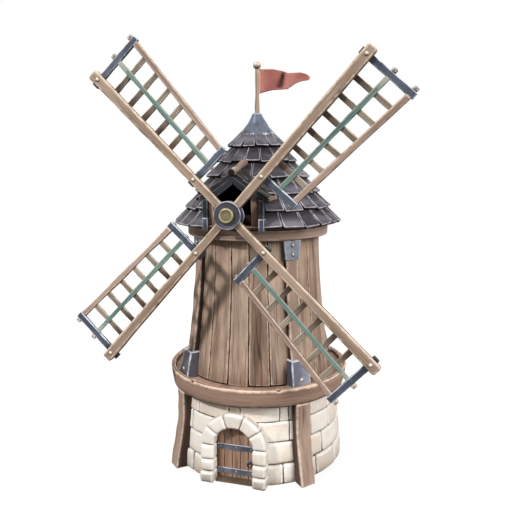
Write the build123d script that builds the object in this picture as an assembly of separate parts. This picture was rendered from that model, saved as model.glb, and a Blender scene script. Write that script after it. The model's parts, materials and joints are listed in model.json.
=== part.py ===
"""A traditional smock-and-stone windmill: hollow stone base with an arched door, a
timber gallery, a flared plank tower with four corner posts, a turning cap with a tiled
roof and a dormer, and a rotor of four lattice sails.

Frame: millimetres, origin at the centre of the base on the ground, +Z up, the door and
the sails face -Y, +X is to the right of someone who faces the door.
"""
from build123d import *
from math import cos, degrees, pi, radians, sin, sqrt, tan
import os

os.makedirs("parts", exist_ok=True)

# ---------------------------------------------------------------- fits
joint_gap = 0.6            # open joint between neighbouring stones or timbers
seat_gap = 0.4             # curved face to curved face on one body
running_gap = 0.5          # faces that slide or turn past each other

# ---------------------------------------------------------------- stone base
base_height = 2900
base_foot_radius = 3150
base_batter = 270          # how much narrower the wall is at its head
base_top_radius = base_foot_radius - base_batter
base_wall_thickness = 730  # at the foot
base_inner_radius = base_foot_radius - base_wall_thickness
floor_thickness = 60

# ---------------------------------------------------------------- doorway
door_half_width = 700
door_spring_height = 1390
arch_stone_depth = 440     # radial width of the arch stones and of the jamb stones
arch_stone_count = 5
keystone_rise = 100
jamb_stone_count = 3
surround_proud = 40        # its flat front stands off the wall's foot
surround_depth = 310       # back to the rebate that the leaf closes against
surround_front = base_foot_radius + surround_proud
rebate_front = surround_front - surround_depth
rebate_lap = 60            # how far the rear opening is wider than the front one
lintel_clearance = 15
threshold_height = 60
threshold_setback = 40
over_door_lap = 140        # the wall piece over the door stops short of the surround

leaf_thickness = 70
leaf_edge_gap = 15
leaf_ground_gap = 15
strap_height = 220
strap_thickness = 12
strap_heights = (355, 1260)
strap_end_gap = 14
handle_height = 740
handle_from_edge = 110
handle_plate_radius = 70
handle_plate_thickness = 10
handle_boss_radius = 24
handle_boss_length = 42
handle_ring_radius = 72
handle_ring_wire = 20
handle_ring_gap = 6

# ---------------------------------------------------------------- buttress posts
corner_azimuths = (-135, -45, 45, 135)
buttress_width = 580
buttress_top_depth = 410
buttress_foot_depth = 490
buttress_top_reach = base_top_radius + buttress_top_depth
buttress_foot_reach = base_foot_radius + buttress_foot_depth
buttress_knee_height = 1750

# ---------------------------------------------------------------- gallery
joist_height = 430
deck_thickness = 120
deck_top = base_height + joist_height + deck_thickness
deck_inner_lap = 170       # how far the boards run in over the wall's inner face
deck_inner_radius = base_inner_radius - deck_inner_lap
gallery_reach = 320
rim_inner_radius = base_top_radius + gallery_reach
rim_top_thickness = 190
rim_foot_thickness = 70
rim_top_radius = rim_inner_radius + rim_top_thickness
rim_foot_radius = rim_inner_radius + rim_foot_thickness
rim_above_deck = 120
rim_foot_lift = 10
rim_top = deck_top + rim_above_deck
rim_foot = base_height + rim_foot_lift
rim_edge_round = 35
rim_segment_count = 12
deck_segment_count = 8
joist_count = 16
joist_width = 160
joist_inset = 40
joist_start = base_inner_radius + joist_inset

# ---------------------------------------------------------------- plank tower
tower_height = 5100        # from the deck to the head of the planks
tower_top = deck_top + tower_height
tower_top_radius = 2250
tower_setback = 160        # the planks' foot stands in from the stone wall's head
tower_foot_radius = base_top_radius - tower_setback
flare_rise = 3150          # from the deck to the flare curve's middle control point
flare_height = deck_top + flare_rise
plank_thickness = 80
post_width = 480
post_foot_proud = 280      # how far a corner post stands off the planks
post_head_proud = 180
post_sunk = 110

shoe_height = 930
shoe_foot_width = 750
shoe_top_width = 620
shoe_foot_proud = 450      # from the planks' foot to the shoe's face
shoe_top_proud = 240
shoe_foot_reach = tower_foot_radius + shoe_foot_proud
shoe_top_reach = tower_foot_radius + shoe_top_proud
shoe_wall = 25

cap_plate_height = 695
cap_plate_foot_width = 560
cap_plate_top_width = 700
cap_plate_proud = 45       # how far the plate stands off the post's face
cap_plate_wall = 30
cap_plate_lean = 25        # its foot stands further out than its head
cap_plate_sunk = 150
plate_to_curb = 15

curb_height = 350
curb_inner_lap = 150       # inside the planks' outer face
curb_outer_reach = 370     # and outside it
curb_inner_radius = tower_top_radius - curb_inner_lap
curb_outer_radius = tower_top_radius + curb_outer_reach
curb_edge_round = 45
ring_segment_count = 8

# ---------------------------------------------------------------- cap
cap_ring_height = 100
cap_ring_inner_inset = 50
cap_ring_outer_inset = 70
cap_ring_inner_radius = curb_inner_radius + cap_ring_inner_inset
cap_ring_outer_radius = curb_outer_radius - cap_ring_outer_inset

eave_overhang = 380
eave_radius = curb_outer_radius + eave_overhang
roof_pitch = 53.3
tile_row_rise = 540
tile_row_count = 6
tile_step = 78             # how far each row stands off the one below it
roof_thickness = 165       # from the row edges' envelope to the inner face
roof_foot_inset = 150
roof_foot_inner_radius = cap_ring_inner_radius + roof_foot_inset
roof_foot_height = 110
roof_head_radius = 450

finial_lap = 330           # how far the cone comes down over the roof's head
finial_band_height = 95
finial_band_proud = 42
finial_height = 840
finial_tip_radius = 170
finial_waist = 40          # how far the flare is drawn in at mid-height
finial_strakes = 5         # straight lengths that make up the flare

pole_foot_radius = 90
pole_top_radius = 70
pole_rise = 1550           # from the cone's head to the pole's top
pole_collar = 20           # straight length over the cone's head, and under the flag
ball_radius = 145
ball_sink = 5

flag_drop = 15             # from the pole's top to the flag's
flag_hoist = 860
flag_length = 1800
flag_head_edge = ((0, 0), (0.27, 20), (0.45, 90), (0.58, 175), (0.83, 190),
                  (0.93, 245), (1, 340))     # share of the length, drop from the top
flag_foot_edge = ((1, 420), (0.96, 475), (0.85, 490), (0.72, 560), (0.56, 740),
                  (0.27, 755), (0, 860))
flag_thickness = 14
flag_wave = 120

# ---------------------------------------------------------------- dormer
dormer_setback = 200       # from the eave to the jambs' face
dormer_front = eave_radius - dormer_setback
dormer_opening_half = 590
jamb_width = 300
jamb_thickness = 90
cheek_thickness = 70
cheek_depth = 1300
sill_height = 90
sill_nose = 100
sill_depth = 440
sill_reach = dormer_front + sill_nose
sill_back = sill_reach - sill_depth
gable_pitch = 36
dormer_rise = 1860         # from the eave to the dormer's ridge
gable_overhang = 230       # past the jambs, each side
gable_roof_thickness = 90
gable_nose = 150
gable_front = dormer_front + gable_nose
gable_length = 1650
gable_rafter_depth = 230
gable_rafter_setback = 15
gable_rafter_front = gable_front - gable_rafter_setback
hanging_post_width = 180
hanging_post_setback = 5
hanging_post_front = gable_front - hanging_post_setback
hanging_post_depth = 185
hanging_post_drop = 70     # below the eave
ridge_log_radius = 90
ridge_log_climb = 12       # degrees that the ridge log climbs towards the roof
ridge_log_nose = 110
ridge_log_front = gable_front + ridge_log_nose
ridge_log_lift = 25        # the log's centre over the ridge, at its front end
ridge_log_length = 1800
eave_log_radius = 75
eave_log_nose = 80
eave_log_front = gable_front + eave_log_nose

# ---------------------------------------------------------------- rotor
hub_clearance = 400        # from the dormer roof's front to the hub's centre
hub_forward = gable_front + hub_clearance
hub_rise = 480             # hub centre over the eave
shaft_tilt = 4
stock_angles = (48.7, 136.3)   # the two crossed stocks, from +X
sail_count = 4
shaft_radius = 200
tail_journal_radius = 100
tail_journal_length = 520
shaft_core_radius = 140
tail_bearing_forward = 400
beam_width = 300
beam_end_gap = 8
tail_beam_height = 420
journal_cheek = 20         # the journal runs this far past its beam
hub_radius = 476
hub_plate_thickness = 100
hub_bevel = 30
boss_radius = 245
boss_height = 100
boss_bevel = 28

whip_root_width = 280
whip_tip_width = 370
whip_depth = 200
whip_reach = 6780
whip_root = 160
whip_tip_round = 60
inner_iron_radius = 1670
outer_iron_radius = 6475
iron_width = 210
iron_depth = 120
iron_housing = 60          # how deep the irons sit in the whip's back
iron_stub = 130            # how far each iron shows past the whip's far side
iron_past_rail = 60
sail_pitch = 3.5
inner_sail_width = 1370
outer_sail_width = 1840
outer_rail_width = 180
outer_rail_depth = 100
rail_sunk = 10             # how far the outer rail's face lies behind the irons'
lath_count = 6
lath_width = 150
lath_depth = 48
mid_rail_width = 160
mid_rail_depth = 56
mid_rail_sunk = 6
peg_width = 150            # the rails' ends, keyed past the irons
peg_depth = 84
peg_reach = 110


# ================================================================ shared forms
def write(name, *solids):
    """Write one node as one STEP file."""
    solids = list(solids)
    shape = solids[0] if len(solids) == 1 else Compound(children=solids)
    shape.label = name
    export_step(shape, f"parts/{name}.step")


def turned(shape, azimuth):
    """Turn a shape built at the front (-Y) round to an azimuth, + towards +X."""
    return shape.rotate(Axis.Z, azimuth)


def revolved(profile, start, sweep):
    """Revolve a face of the XZ plane about Z, from azimuth start through sweep."""
    solid = revolve(profile, axis=Axis.Z, revolution_arc=sweep)
    return solid.rotate(Axis.Z, start - 90)


def xz_face(*points):
    """A straight-sided face in the XZ plane from (radius, height) points."""
    corners = [(r, 0, z) for r, z in points]
    return make_face(Polyline(*corners, close=True))


def ring_segments(profile, count, gap):
    """A ring cut into equal segments with an open joint of gap between them."""
    reach = max(v.X for v in profile.vertices())
    gap_angle = degrees(gap / reach)
    step = 360 / count
    return [
        revolved(profile, (i - 0.5) * step + gap_angle / 2, step - gap_angle)
        for i in range(count)
    ]


def block(x0, x1, y0, y1, z0, z1):
    """An axis-aligned block between two corners."""
    size = Box(x1 - x0, y1 - y0, z1 - z0, align=Align.MIN)
    return size.moved(Location((x0, y0, z0)))


def largest(shape):
    """The largest solid of a boolean's result."""
    return max(shape.solids(), key=lambda solid: solid.volume)


def common(shape, tool):
    """The one solid that two shapes share."""
    return largest(shape.intersect(tool))


# ================================================================ stone base
def base_wall_profile():
    """The battered stone wall's section."""
    return xz_face(
        (base_inner_radius, 0),
        (base_foot_radius, 0),
        (base_top_radius, base_height),
        (base_inner_radius, base_height),
    )


def arch_outline(radius, front, back, top_of_jambs=door_spring_height):
    """An arch-headed prism of a given half width that runs from front to back."""
    depth = front - back
    jambs = block(-radius, radius, -front, -back, -1, top_of_jambs)
    head = Cylinder(radius, depth, rotation=(90, 0, 0))
    return jambs + head.moved(Location((0, -(front + back) / 2, top_of_jambs)))


surround_radius = door_half_width + arch_stone_depth
rear_half_width = door_half_width + rebate_lap
leaf_half_width = rear_half_width - leaf_edge_gap
leaf_crown = door_spring_height + leaf_half_width
rear_opening_top = leaf_crown + lintel_clearance


def doorway_void():
    """What the surround's stones and the doorway take out of the wall."""
    clear = 2 * base_foot_radius
    front = arch_outline(surround_radius + joint_gap, clear, rebate_front)
    keystone = common(keystone_prism(joint_gap),
                      block(-clear, clear, -clear, -rebate_front, 0, base_height))
    rear = block(-rear_half_width, rear_half_width, -rebate_front, 0, -1,
                 rear_opening_top)
    return front + keystone + rear


def keystone_prism(grow):
    """The wedge of the middle arch stone, grown outward by a joint."""
    half = 90 / arch_stone_count
    reach = surround_radius + keystone_rise + grow
    slope = tan(radians(half))
    inner = door_half_width - 200
    points = [
        (-inner * slope - grow, inner),
        (inner * slope + grow, inner),
        (reach * slope + grow, reach),
        (-reach * slope - grow, reach),
    ]
    corners = [(x, 0, door_spring_height + z) for x, z in points]
    face = make_face(Polyline(*corners, close=True))
    return extrude(face, amount=2 * surround_front, dir=(0, -1, 0))


def over_door_strip():
    """The region over the doorway that is one wall piece of its own."""
    half = surround_radius - over_door_lap
    foot = door_spring_height + sqrt(surround_radius**2 - half**2)
    clear = 2 * base_foot_radius
    return block(-half, half, -clear, 0, foot, base_height + 1)


def base_walls():
    """The hollow wall in four pieces: left, right, back and over the door."""
    side_sweep = 135
    void = doorway_void()
    strip = over_door_strip()
    left = revolved(base_wall_profile(), -side_sweep, side_sweep) - void - strip
    right = revolved(base_wall_profile(), 0, side_sweep) - void - strip
    back = revolved(base_wall_profile(), side_sweep, 360 - 2 * side_sweep)
    front = revolved(base_wall_profile(), -45, 90)
    over_door = common(front, strip) - void
    return left, right, back, over_door


def arch_sector(start, end):
    """One arch stone between two angles from the crown, with square inner faces."""
    reach = surround_radius
    if start < 0 < end:
        reach = surround_radius + keystone_rise
    half_gap = degrees(joint_gap / 2 / door_half_width)
    first = radians(start + half_gap)
    last = radians(end - half_gap)
    inner = door_half_width
    points = [
        (inner * sin(first), inner * cos(first)),
        (reach * sin(first), reach * cos(first)),
    ]
    if start < 0 < end:
        points.append((reach * sin(last), reach * cos(last)))
    else:
        middle = (first + last) / 2
        points.append((reach * sin(middle), reach * cos(middle)))
        points.append((reach * sin(last), reach * cos(last)))
    points.append((inner * sin(last), inner * cos(last)))
    corners = [(x, -rebate_front, door_spring_height + z) for x, z in points]
    face = make_face(Polyline(*corners, close=True))
    return extrude(face, amount=surround_front - rebate_front, dir=(0, -1, 0))


def door_surround():
    """Five arch stones on three jamb stones a side, each a solid with its joint."""
    step = 180 / arch_stone_count
    stones = [
        arch_sector(-90 + i * step, -90 + (i + 1) * step)
        for i in range(arch_stone_count)
    ]
    course = door_spring_height / jamb_stone_count
    for side in (-1, 1):
        for i in range(jamb_stone_count):
            x0, x1 = sorted((side * door_half_width, side * surround_radius))
            stones.append(
                block(x0, x1, -surround_front, -rebate_front,
                      i * course, (i + 1) * course - joint_gap)
            )
    return stones


def ground_floor():
    """Stone floor of the ground room, with a tongue out to the threshold."""
    disc = Cylinder(base_inner_radius - seat_gap, floor_thickness,
                    align=(Align.CENTER, Align.CENTER, Align.MIN))
    clear = rear_half_width - 1
    tongue = block(-clear, clear, -rebate_front + 1, 0, 0, floor_thickness)
    return disc + tongue


def threshold():
    """The door's threshold stone between the jambs."""
    half = door_half_width - joint_gap
    return block(-half, half, -surround_front + threshold_setback, -rebate_front, 0,
                 threshold_height)


# ================================================================ door
hinge_x = -leaf_half_width
leaf_front = rebate_front - running_gap
leaf_back = leaf_front - leaf_thickness
leaf_foot = threshold_height + leaf_ground_gap


def door_leaf():
    """The plank leaf, arch-headed, behind the rebate."""
    leaf = arch_outline(leaf_half_width, leaf_front, leaf_back)
    clear = 2 * base_foot_radius
    below = block(-clear, clear, -clear, 0, -clear, leaf_foot)
    return leaf - below


def door_straps():
    """Two iron straps across the leaf's face, inside the opening's width."""
    half = door_half_width - strap_end_gap
    return [
        block(-half, half, -leaf_front - strap_thickness, -leaf_front,
              height - strap_height / 2, height + strap_height / 2)
        for height in strap_heights
    ]


def y_disc(radius, front, back, x, z):
    """A round disc or bar that faces the front, between two distances forward."""
    disc = Cylinder(radius, front - back, rotation=(90, 0, 0))
    return disc.moved(Location((x, -(front + back) / 2, z)))


def door_handle():
    """A round iron plate with a flat drop ring on its boss."""
    x = door_half_width - handle_from_edge
    face = leaf_front
    plate = y_disc(handle_plate_radius, face + handle_plate_thickness, face, x,
                   handle_height)
    boss = y_disc(handle_boss_radius, face + handle_boss_length, face, x, handle_height)
    drop = handle_height - handle_ring_radius + handle_ring_wire
    ring_back = face + handle_plate_thickness + handle_ring_gap
    ring_front = ring_back + handle_ring_wire
    ring = y_disc(handle_ring_radius, ring_front, ring_back, x, drop)
    hole = y_disc(handle_ring_radius - handle_ring_wire, ring_front, ring_back, x, drop)
    return plate + boss + (ring - hole)


# ================================================================ buttress posts
def buttress_posts():
    """Four timber posts that carry the gallery and splay out at the foot."""
    side = [
        (base_foot_radius + seat_gap, 0),
        (buttress_foot_reach, 0),
        (buttress_top_reach, buttress_knee_height),
        (buttress_top_reach, rim_foot),
        (rim_inner_radius - 1, rim_foot),
        (rim_inner_radius - 1, base_height),
        (base_top_radius + seat_gap, base_height),
    ]
    face = make_face(Polyline(*[(0, -r, z) for r, z in side], close=True))
    post = extrude(face, amount=buttress_width / 2, both=True, dir=(1, 0, 0))
    return [turned(post, a) for a in corner_azimuths]


# ================================================================ gallery
def gallery_joists():
    """Radial beams on the wall head that carry the deck and hold the rim."""
    end = sqrt((rim_inner_radius - seat_gap) ** 2 - (joist_width / 2) ** 2)
    beam = block(-joist_width / 2, joist_width / 2, -end, -joist_start,
                 base_height, deck_top - deck_thickness)
    step = 360 / joist_count
    return [turned(beam, (i + 0.5) * step) for i in range(joist_count)]


def gallery_deck():
    """The walkway's boards, in segments."""
    outer = rim_inner_radius - seat_gap
    foot = deck_top - deck_thickness
    profile = xz_face((deck_inner_radius, foot), (outer, foot),
                      (outer, deck_top), (deck_inner_radius, deck_top))
    return ring_segments(profile, deck_segment_count, joint_gap)


def gallery_rim():
    """The heavy bent rim of the gallery, in segments."""
    r = rim_edge_round
    profile = xz_face(
        (rim_inner_radius, rim_foot),
        (rim_foot_radius - r, rim_foot),
        (rim_foot_radius, rim_foot + r),
        (rim_top_radius, rim_top - r),
        (rim_top_radius - r, rim_top),
        (rim_inner_radius + r, rim_top),
        (rim_inner_radius, rim_top - r),
    )
    return ring_segments(profile, rim_segment_count, joint_gap)


# ================================================================ plank tower
def flare_curve(foot_offset, head_offset):
    """The tower's concave outline, moved outward by an offset at each end."""
    middle_offset = (foot_offset + head_offset) / 2
    return Bezier(
        (tower_foot_radius + foot_offset, 0, deck_top),
        (tower_top_radius + middle_offset, 0, flare_height),
        (tower_top_radius + head_offset, 0, tower_top),
    )


def flare_face(inner_offset, foot_offset, head_offset):
    """The face between two copies of the outline, in the XZ plane."""
    outer = flare_curve(foot_offset, head_offset)
    inner = flare_curve(inner_offset, inner_offset)
    foot = Line(inner @ 0, outer @ 0)
    head = Line(inner @ 1, outer @ 1)
    return make_face([outer, inner, foot, head])


def corner_post(width=post_width):
    """One curved corner post, at the front, before it is turned to its corner."""
    side = flare_face(-post_sunk, post_foot_proud, post_head_proud)
    side = side.rotate(Axis.Z, -90)
    return extrude(side, amount=width / 2, both=True, dir=(1, 0, 0))


def corner_posts():
    """The four corner posts."""
    return [turned(corner_post(), a) for a in corner_azimuths]


def wall_panel(azimuth):
    """One quarter of the plank wall, between two corner posts."""
    panel = revolved(flare_face(-plank_thickness, 0, 0), -45, 90)
    reach = 2 * tower_foot_radius
    slot = block(-post_width / 2, post_width / 2, -reach, 0, 0, tower_top + 10)
    panel = panel - turned(slot, -45) - turned(slot, 45)
    return turned(panel, azimuth)


def tapered_case(widths, reaches, heights, wall, back):
    """A cast case round a post: open behind and below, its sides drawn in."""
    def body(inset):
        sections = []
        for i in (0, 1):
            half = widths[i] / 2 - inset
            front = reaches[i] - inset
            rectangle = Polyline(
                (-half, -front, heights[i]), (half, -front, heights[i]),
                (half, -back, heights[i]), (-half, -back, heights[i]), close=True,
            )
            sections.append(make_face(rectangle))
        return loft(sections)

    outer = body(0)
    lowered = Location((0, 0, -wall))
    return outer - body(wall).moved(lowered)


def behind_planks():
    """Everything inside the plank wall's outer face, with a seat gap."""
    outer = flare_curve(seat_gap, seat_gap)
    axis_foot = (0, 0, deck_top)
    axis_head = (0, 0, tower_top)
    face = make_face([outer, Line(outer @ 1, axis_head), Line(axis_head, axis_foot),
                      Line(axis_foot, outer @ 0)])
    return revolved(face, -30, 60)


def post_shoes():
    """Cast shoes round the feet of the corner posts."""
    case = tapered_case((shoe_foot_width, shoe_top_width),
                        (shoe_foot_reach, shoe_top_reach),
                        (deck_top, deck_top + shoe_height), shoe_wall,
                        tower_top_radius)
    case = case - corner_post() - behind_planks()
    return [turned(case, a) for a in corner_azimuths]


def post_plates():
    """Iron head plates round the tops of the corner posts."""
    reach = tower_top_radius + post_head_proud + cap_plate_proud
    top = tower_top - plate_to_curb
    foot_reach = reach + cap_plate_lean
    case = tapered_case((cap_plate_foot_width, cap_plate_top_width),
                        (foot_reach, reach), (top - cap_plate_height, top),
                        cap_plate_wall, tower_top_radius - cap_plate_sunk)
    case = case - corner_post() - behind_planks()
    return [turned(case, a) for a in corner_azimuths]


def rounded_ring(inner, outer, foot, head, r):
    """A ring's section with its outer edges taken off."""
    return xz_face((inner, foot), (outer - r, foot), (outer, foot + r),
                   (outer, head - r), (outer - r, head), (inner, head))


def curb_ring():
    """The fixed ring on the tower's head that the cap turns on."""
    profile = rounded_ring(curb_inner_radius, curb_outer_radius, tower_top,
                           tower_top + curb_height, curb_edge_round)
    return ring_segments(profile, ring_segment_count, joint_gap)


# ================================================================ cap
cap_foot = tower_top + curb_height + running_gap
eave_height = cap_foot + cap_ring_height
pitch_tan = tan(radians(roof_pitch))
roof_top_height = (eave_radius - roof_head_radius) * pitch_tan
finial_foot_height = roof_top_height - finial_lap
ridge_height = eave_height + dormer_rise
dormer_half = dormer_opening_half + jamb_width
gable_eave_half = dormer_half + gable_overhang
gable_back = gable_front - gable_length
hub_height = eave_height + hub_rise


def envelope_radius(height):
    """Radius of the cone through the tile rows' edges, at a height over the eave."""
    return eave_radius - height / pitch_tan


def row_head(row):
    """Height of a tile row's head over the eave; the last runs to the roof's head."""
    return roof_top_height if row == tile_row_count - 1 else (row + 1) * tile_row_rise


def cap_ring():
    """The cap's turning ring, on the curb."""
    profile = rounded_ring(cap_ring_inner_radius, cap_ring_outer_radius, cap_foot,
                           eave_height, running_gap)
    return ring_segments(profile, ring_segment_count, joint_gap)


def roof_profile():
    """The roof's section: six rows of tiles that step in, and a straight inside."""
    points = []
    for i in range(tile_row_count):
        low = i * tile_row_rise
        high = row_head(i)
        points.append((envelope_radius(low), low))
        points.append((envelope_radius(high) - tile_step, high))
    inside = roof_thickness / sin(radians(roof_pitch))
    points.append((envelope_radius(roof_top_height) - inside, roof_top_height))
    inner_top = roof_foot_height
    points.append((envelope_radius(inner_top) - inside, inner_top))
    points.append((roof_foot_inner_radius, inner_top))
    points.append((roof_foot_inner_radius, 0))
    return xz_face(*[(r, eave_height + z) for r, z in points])


def gable_underside(half_width, drop):
    """The gabled outline under the dormer roof, as (x, height) points."""
    slope = tan(radians(gable_pitch))
    crown = ridge_height - gable_roof_thickness / cos(radians(gable_pitch)) - drop
    return [(-half_width, crown - half_width * slope), (0, crown),
            (half_width, crown - half_width * slope)]


def dormer_void():
    """What the dormer takes out of the roof, with its cheeks seated in the cut."""
    half = dormer_half
    head = gable_underside(half, -seat_gap)
    outline = [(-half, eave_height - 1)] + head + [(half, eave_height - 1)]
    corners = [(x, 0, z) for x, z in outline]
    face = make_face(Polyline(*corners, close=True))
    return extrude(face, amount=2 * eave_radius, dir=(0, -1, 0))


def roof_quarters():
    """The roof in four quarters, the front two cut for the dormer."""
    void = dormer_void()
    front_left = revolved(roof_profile(), -90, 90) - void
    front_right = revolved(roof_profile(), 0, 90) - void
    back_right = revolved(roof_profile(), 90, 90)
    back_left = revolved(roof_profile(), 180, 90)
    return front_left, front_right, back_right, back_left


def finial_cone():
    """The sheet-metal cone on the roof's head, with a band at its foot."""
    last_row = (tile_row_count - 1) * tile_row_rise
    rise = roof_top_height - last_row
    row_tan = rise / (rise / pitch_tan + tile_step)

    def row_radius(height):
        return envelope_radius(last_row) - (height - last_row) / row_tan

    foot = finial_foot_height
    head = foot + finial_height
    inner_foot = row_radius(foot) + seat_gap
    band = inner_foot + finial_band_proud
    shell_foot = foot + finial_band_height
    start = (inner_foot + finial_band_proud / 2, 0, eave_height + shell_foot)
    end = (finial_tip_radius, 0, eave_height + head)
    middle = ((start[0] + end[0]) / 2 - finial_waist, 0, (start[2] + end[2]) / 2)
    curve = ThreePointArc(start, middle, end)
    flare = Polyline(*[curve @ (i / finial_strakes) for i in range(finial_strakes + 1)])
    bore = pole_foot_radius + seat_gap
    inner_top = roof_top_height + seat_gap
    rest = Polyline(
        end,
        (bore, 0, eave_height + head),
        (bore, 0, eave_height + inner_top),
        (row_radius(inner_top) + seat_gap, 0, eave_height + inner_top),
        (inner_foot, 0, eave_height + foot),
        (band, 0, eave_height + foot),
        (band, 0, eave_height + shell_foot),
        start,
    )
    return revolve(make_face([flare, rest]), axis=Axis.Z)


pole_top = eave_height + finial_foot_height + finial_height + pole_rise
flag_top = pole_top - flag_drop


def flag_pole():
    """The tapered pole with its ball, stepped on the roof's head."""
    foot = eave_height + roof_top_height + seat_gap
    straight = eave_height + finial_foot_height + finial_height + pole_collar
    pole_taper_top = pole_top - flag_hoist - pole_collar
    ball_centre = pole_top + ball_radius - ball_sink
    profile = Polyline(
        (0, 0, foot), (pole_foot_radius, 0, foot), (pole_foot_radius, 0, straight),
        (pole_top_radius, 0, pole_taper_top), (pole_top_radius, 0, pole_top),
        (0, 0, pole_top), close=True,
    )
    pole = revolve(make_face(profile), axis=Axis.Z)
    return pole + Sphere(ball_radius).moved(Location((0, 0, ball_centre)))


def flag():
    """The pennant: a waved, tapering cloth of even thickness."""
    start = pole_top_radius + seat_gap
    count = 12
    top = []
    for i in range(count + 1):
        t = i / count
        x = start + t * flag_length
        y = -flag_wave * sin(t * 1.5 * 2 * pi) * min(1, 2 * t) * 0.5
        top.append((x, y))
    half = flag_thickness / 2
    front = Spline(*[(x, y - half, 0) for x, y in top])
    back = Spline(*[(x, y + half, 0) for x, y in top])
    edges = [front, back, Line(front @ 0, back @ 0), Line(front @ 1, back @ 1)]
    strip = extrude(make_face(edges), amount=flag_hoist, dir=(0, 0, 1))
    strip = strip.moved(Location((0, 0, flag_top - flag_hoist)))
    clear = flag_wave + flag_thickness
    corners = [(start + share * flag_length, -clear, flag_top - drop)
               for share, drop in flag_head_edge + flag_foot_edge]
    outline = make_face(Polyline(*corners, close=True))
    return common(strip, extrude(outline, amount=2 * clear, dir=(0, 1, 0)))


# ================================================================ dormer
def dormer_side(side):
    """A front jamb board and the cheek behind it, as one corner."""
    outer = dormer_half - seat_gap
    inner = dormer_opening_half
    jamb = block(inner, outer, -dormer_front, -dormer_front + jamb_thickness,
                 eave_height + sill_height, ridge_height)
    cheek = block(outer - cheek_thickness, outer, -dormer_front,
                  -dormer_front + cheek_depth,
                  eave_height + sill_height, ridge_height)
    corner = (jamb + cheek) - above_gable(seat_gap) - roof_inside()
    if side < 0:
        corner = mirror(corner, Plane.YZ)
    return corner


def roof_inside():
    """The space under the roof shell, which the cheeks stop at."""
    inside = roof_thickness / sin(radians(roof_pitch))
    low = roof_foot_height
    high = roof_top_height
    face = xz_face((0, eave_height + low),
                   (envelope_radius(low) - inside, eave_height + low),
                   (envelope_radius(high) - inside, eave_height + high),
                   (0, eave_height + high))
    return revolved(face, -60, 120)


def dormer_sill():
    """The ledge under the dormer's opening."""
    half = dormer_half - seat_gap
    return block(-half, half, -sill_reach, -sill_back, eave_height,
                 eave_height + sill_height)


def dormer_roof():
    """The two slopes of the dormer's roof, run back into the main roof."""
    slope = tan(radians(gable_pitch))
    drop = gable_roof_thickness / cos(radians(gable_pitch))
    half = gable_eave_half
    outline = [(-half, ridge_height - half * slope), (0, ridge_height),
               (half, ridge_height - half * slope),
               (half, ridge_height - half * slope - drop), (0, ridge_height - drop),
               (-half, ridge_height - half * slope - drop)]
    face = make_face(Polyline(*[(x, -gable_back, z) for x, z in outline], close=True))
    gable = extrude(face, amount=gable_front - gable_back, dir=(0, -1, 0))
    return gable - main_roof_body()


def main_roof_body():
    """The main roof as a full cone of rows, which the dormer stops at."""
    points = [(0, 0)]
    for i in range(tile_row_count):
        low = i * tile_row_rise
        high = row_head(i)
        points.append((envelope_radius(low) + seat_gap, low))
        points.append((envelope_radius(high) - tile_step + seat_gap, high))
    points.append((0, roof_top_height))
    face = xz_face(*[(r, eave_height + z) for r, z in points])
    return revolved(face, -80, 160)


def above_gable(gap):
    """The space over the dormer roof's underside, for cutting what seats there."""
    wide = 2 * gable_eave_half
    head = gable_underside(wide, gap)
    high = ridge_height + dormer_rise
    outline = [head[0], head[1], head[2], (wide, high), (-wide, high)]
    face = make_face(Polyline(*[(x, 0, z) for x, z in outline], close=True))
    return extrude(face, amount=2 * gable_front, dir=(0, -1, 0))


def gable_rafters():
    """The two sloping timbers in front of the jambs, mitred at the apex."""
    half = dormer_half - seat_gap
    slope = tan(radians(gable_pitch))
    depth = gable_rafter_depth / cos(radians(gable_pitch))
    crown = gable_underside(half, seat_gap)[1][1]
    back = dormer_front + seat_gap
    rafters = []
    for side in (-1, 1):
        outline = [(side * joint_gap / 2, crown), (side * half, crown - half * slope),
                   (side * half, crown - half * slope - depth),
                   (side * joint_gap / 2, crown - depth)]
        corners = [(x, -back, z) for x, z in outline]
        face = make_face(Polyline(*corners, close=True))
        rafters.append(extrude(face, amount=gable_rafter_front - back, dir=(0, -1, 0)))
    return rafters


def hanging_posts():
    """The dormer's two corner posts, notched over the eave and hanging past it."""
    outer = dormer_half + hanging_post_width
    head = gable_underside(outer, seat_gap)[2][1]
    post = block(dormer_half, outer, -hanging_post_front,
                 -hanging_post_front + hanging_post_depth,
                 eave_height - hanging_post_drop, head)
    post = largest(post - main_roof_body())
    return [post, mirror(post, Plane.YZ)]


def ridge_log():
    """The round log on the dormer's ridge, climbing back to the main roof."""
    log = Cylinder(ridge_log_radius, ridge_log_length,
                   align=(Align.CENTER, Align.CENTER, Align.MIN))
    log = log.rotate(Axis.X, -90 + ridge_log_climb)
    log = log.moved(Location((0, -ridge_log_front, ridge_height + ridge_log_lift)))
    return largest(log - dormer_roof() - main_roof_body())


def eave_logs():
    """A round log along each eave of the dormer roof."""
    slope = tan(radians(gable_pitch))
    drop = gable_roof_thickness / cos(radians(gable_pitch))
    x = gable_eave_half + eave_log_radius + seat_gap
    z = ridge_height - gable_eave_half * slope - drop / 2
    log = Cylinder(eave_log_radius, eave_log_front - gable_back, rotation=(90, 0, 0))
    log = log.moved(Location((x, -(eave_log_front + gable_back) / 2, z)))
    log = largest(log - main_roof_body())
    return [log, mirror(log, Plane.YZ)]


# ================================================================ rotor
tilt = radians(shaft_tilt)
rotor_plane = Plane(origin=(0, -hub_forward, hub_height), x_dir=(1, 0, 0),
                    z_dir=(0, -cos(tilt), sin(tilt)))


def in_rotor(shape):
    """Move a shape from the rotor's own frame (Z forward along the shaft)."""
    return shape.moved(rotor_plane.location)


def shaft_height(forward):
    """Height of the shaft's centre line at a distance in front of the axis."""
    return hub_height - (hub_forward - forward) * tan(tilt)


def along_shaft(forward):
    """Distance along the shaft from the hub back to a place before the axis."""
    return (hub_forward - forward) / cos(tilt)


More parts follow.
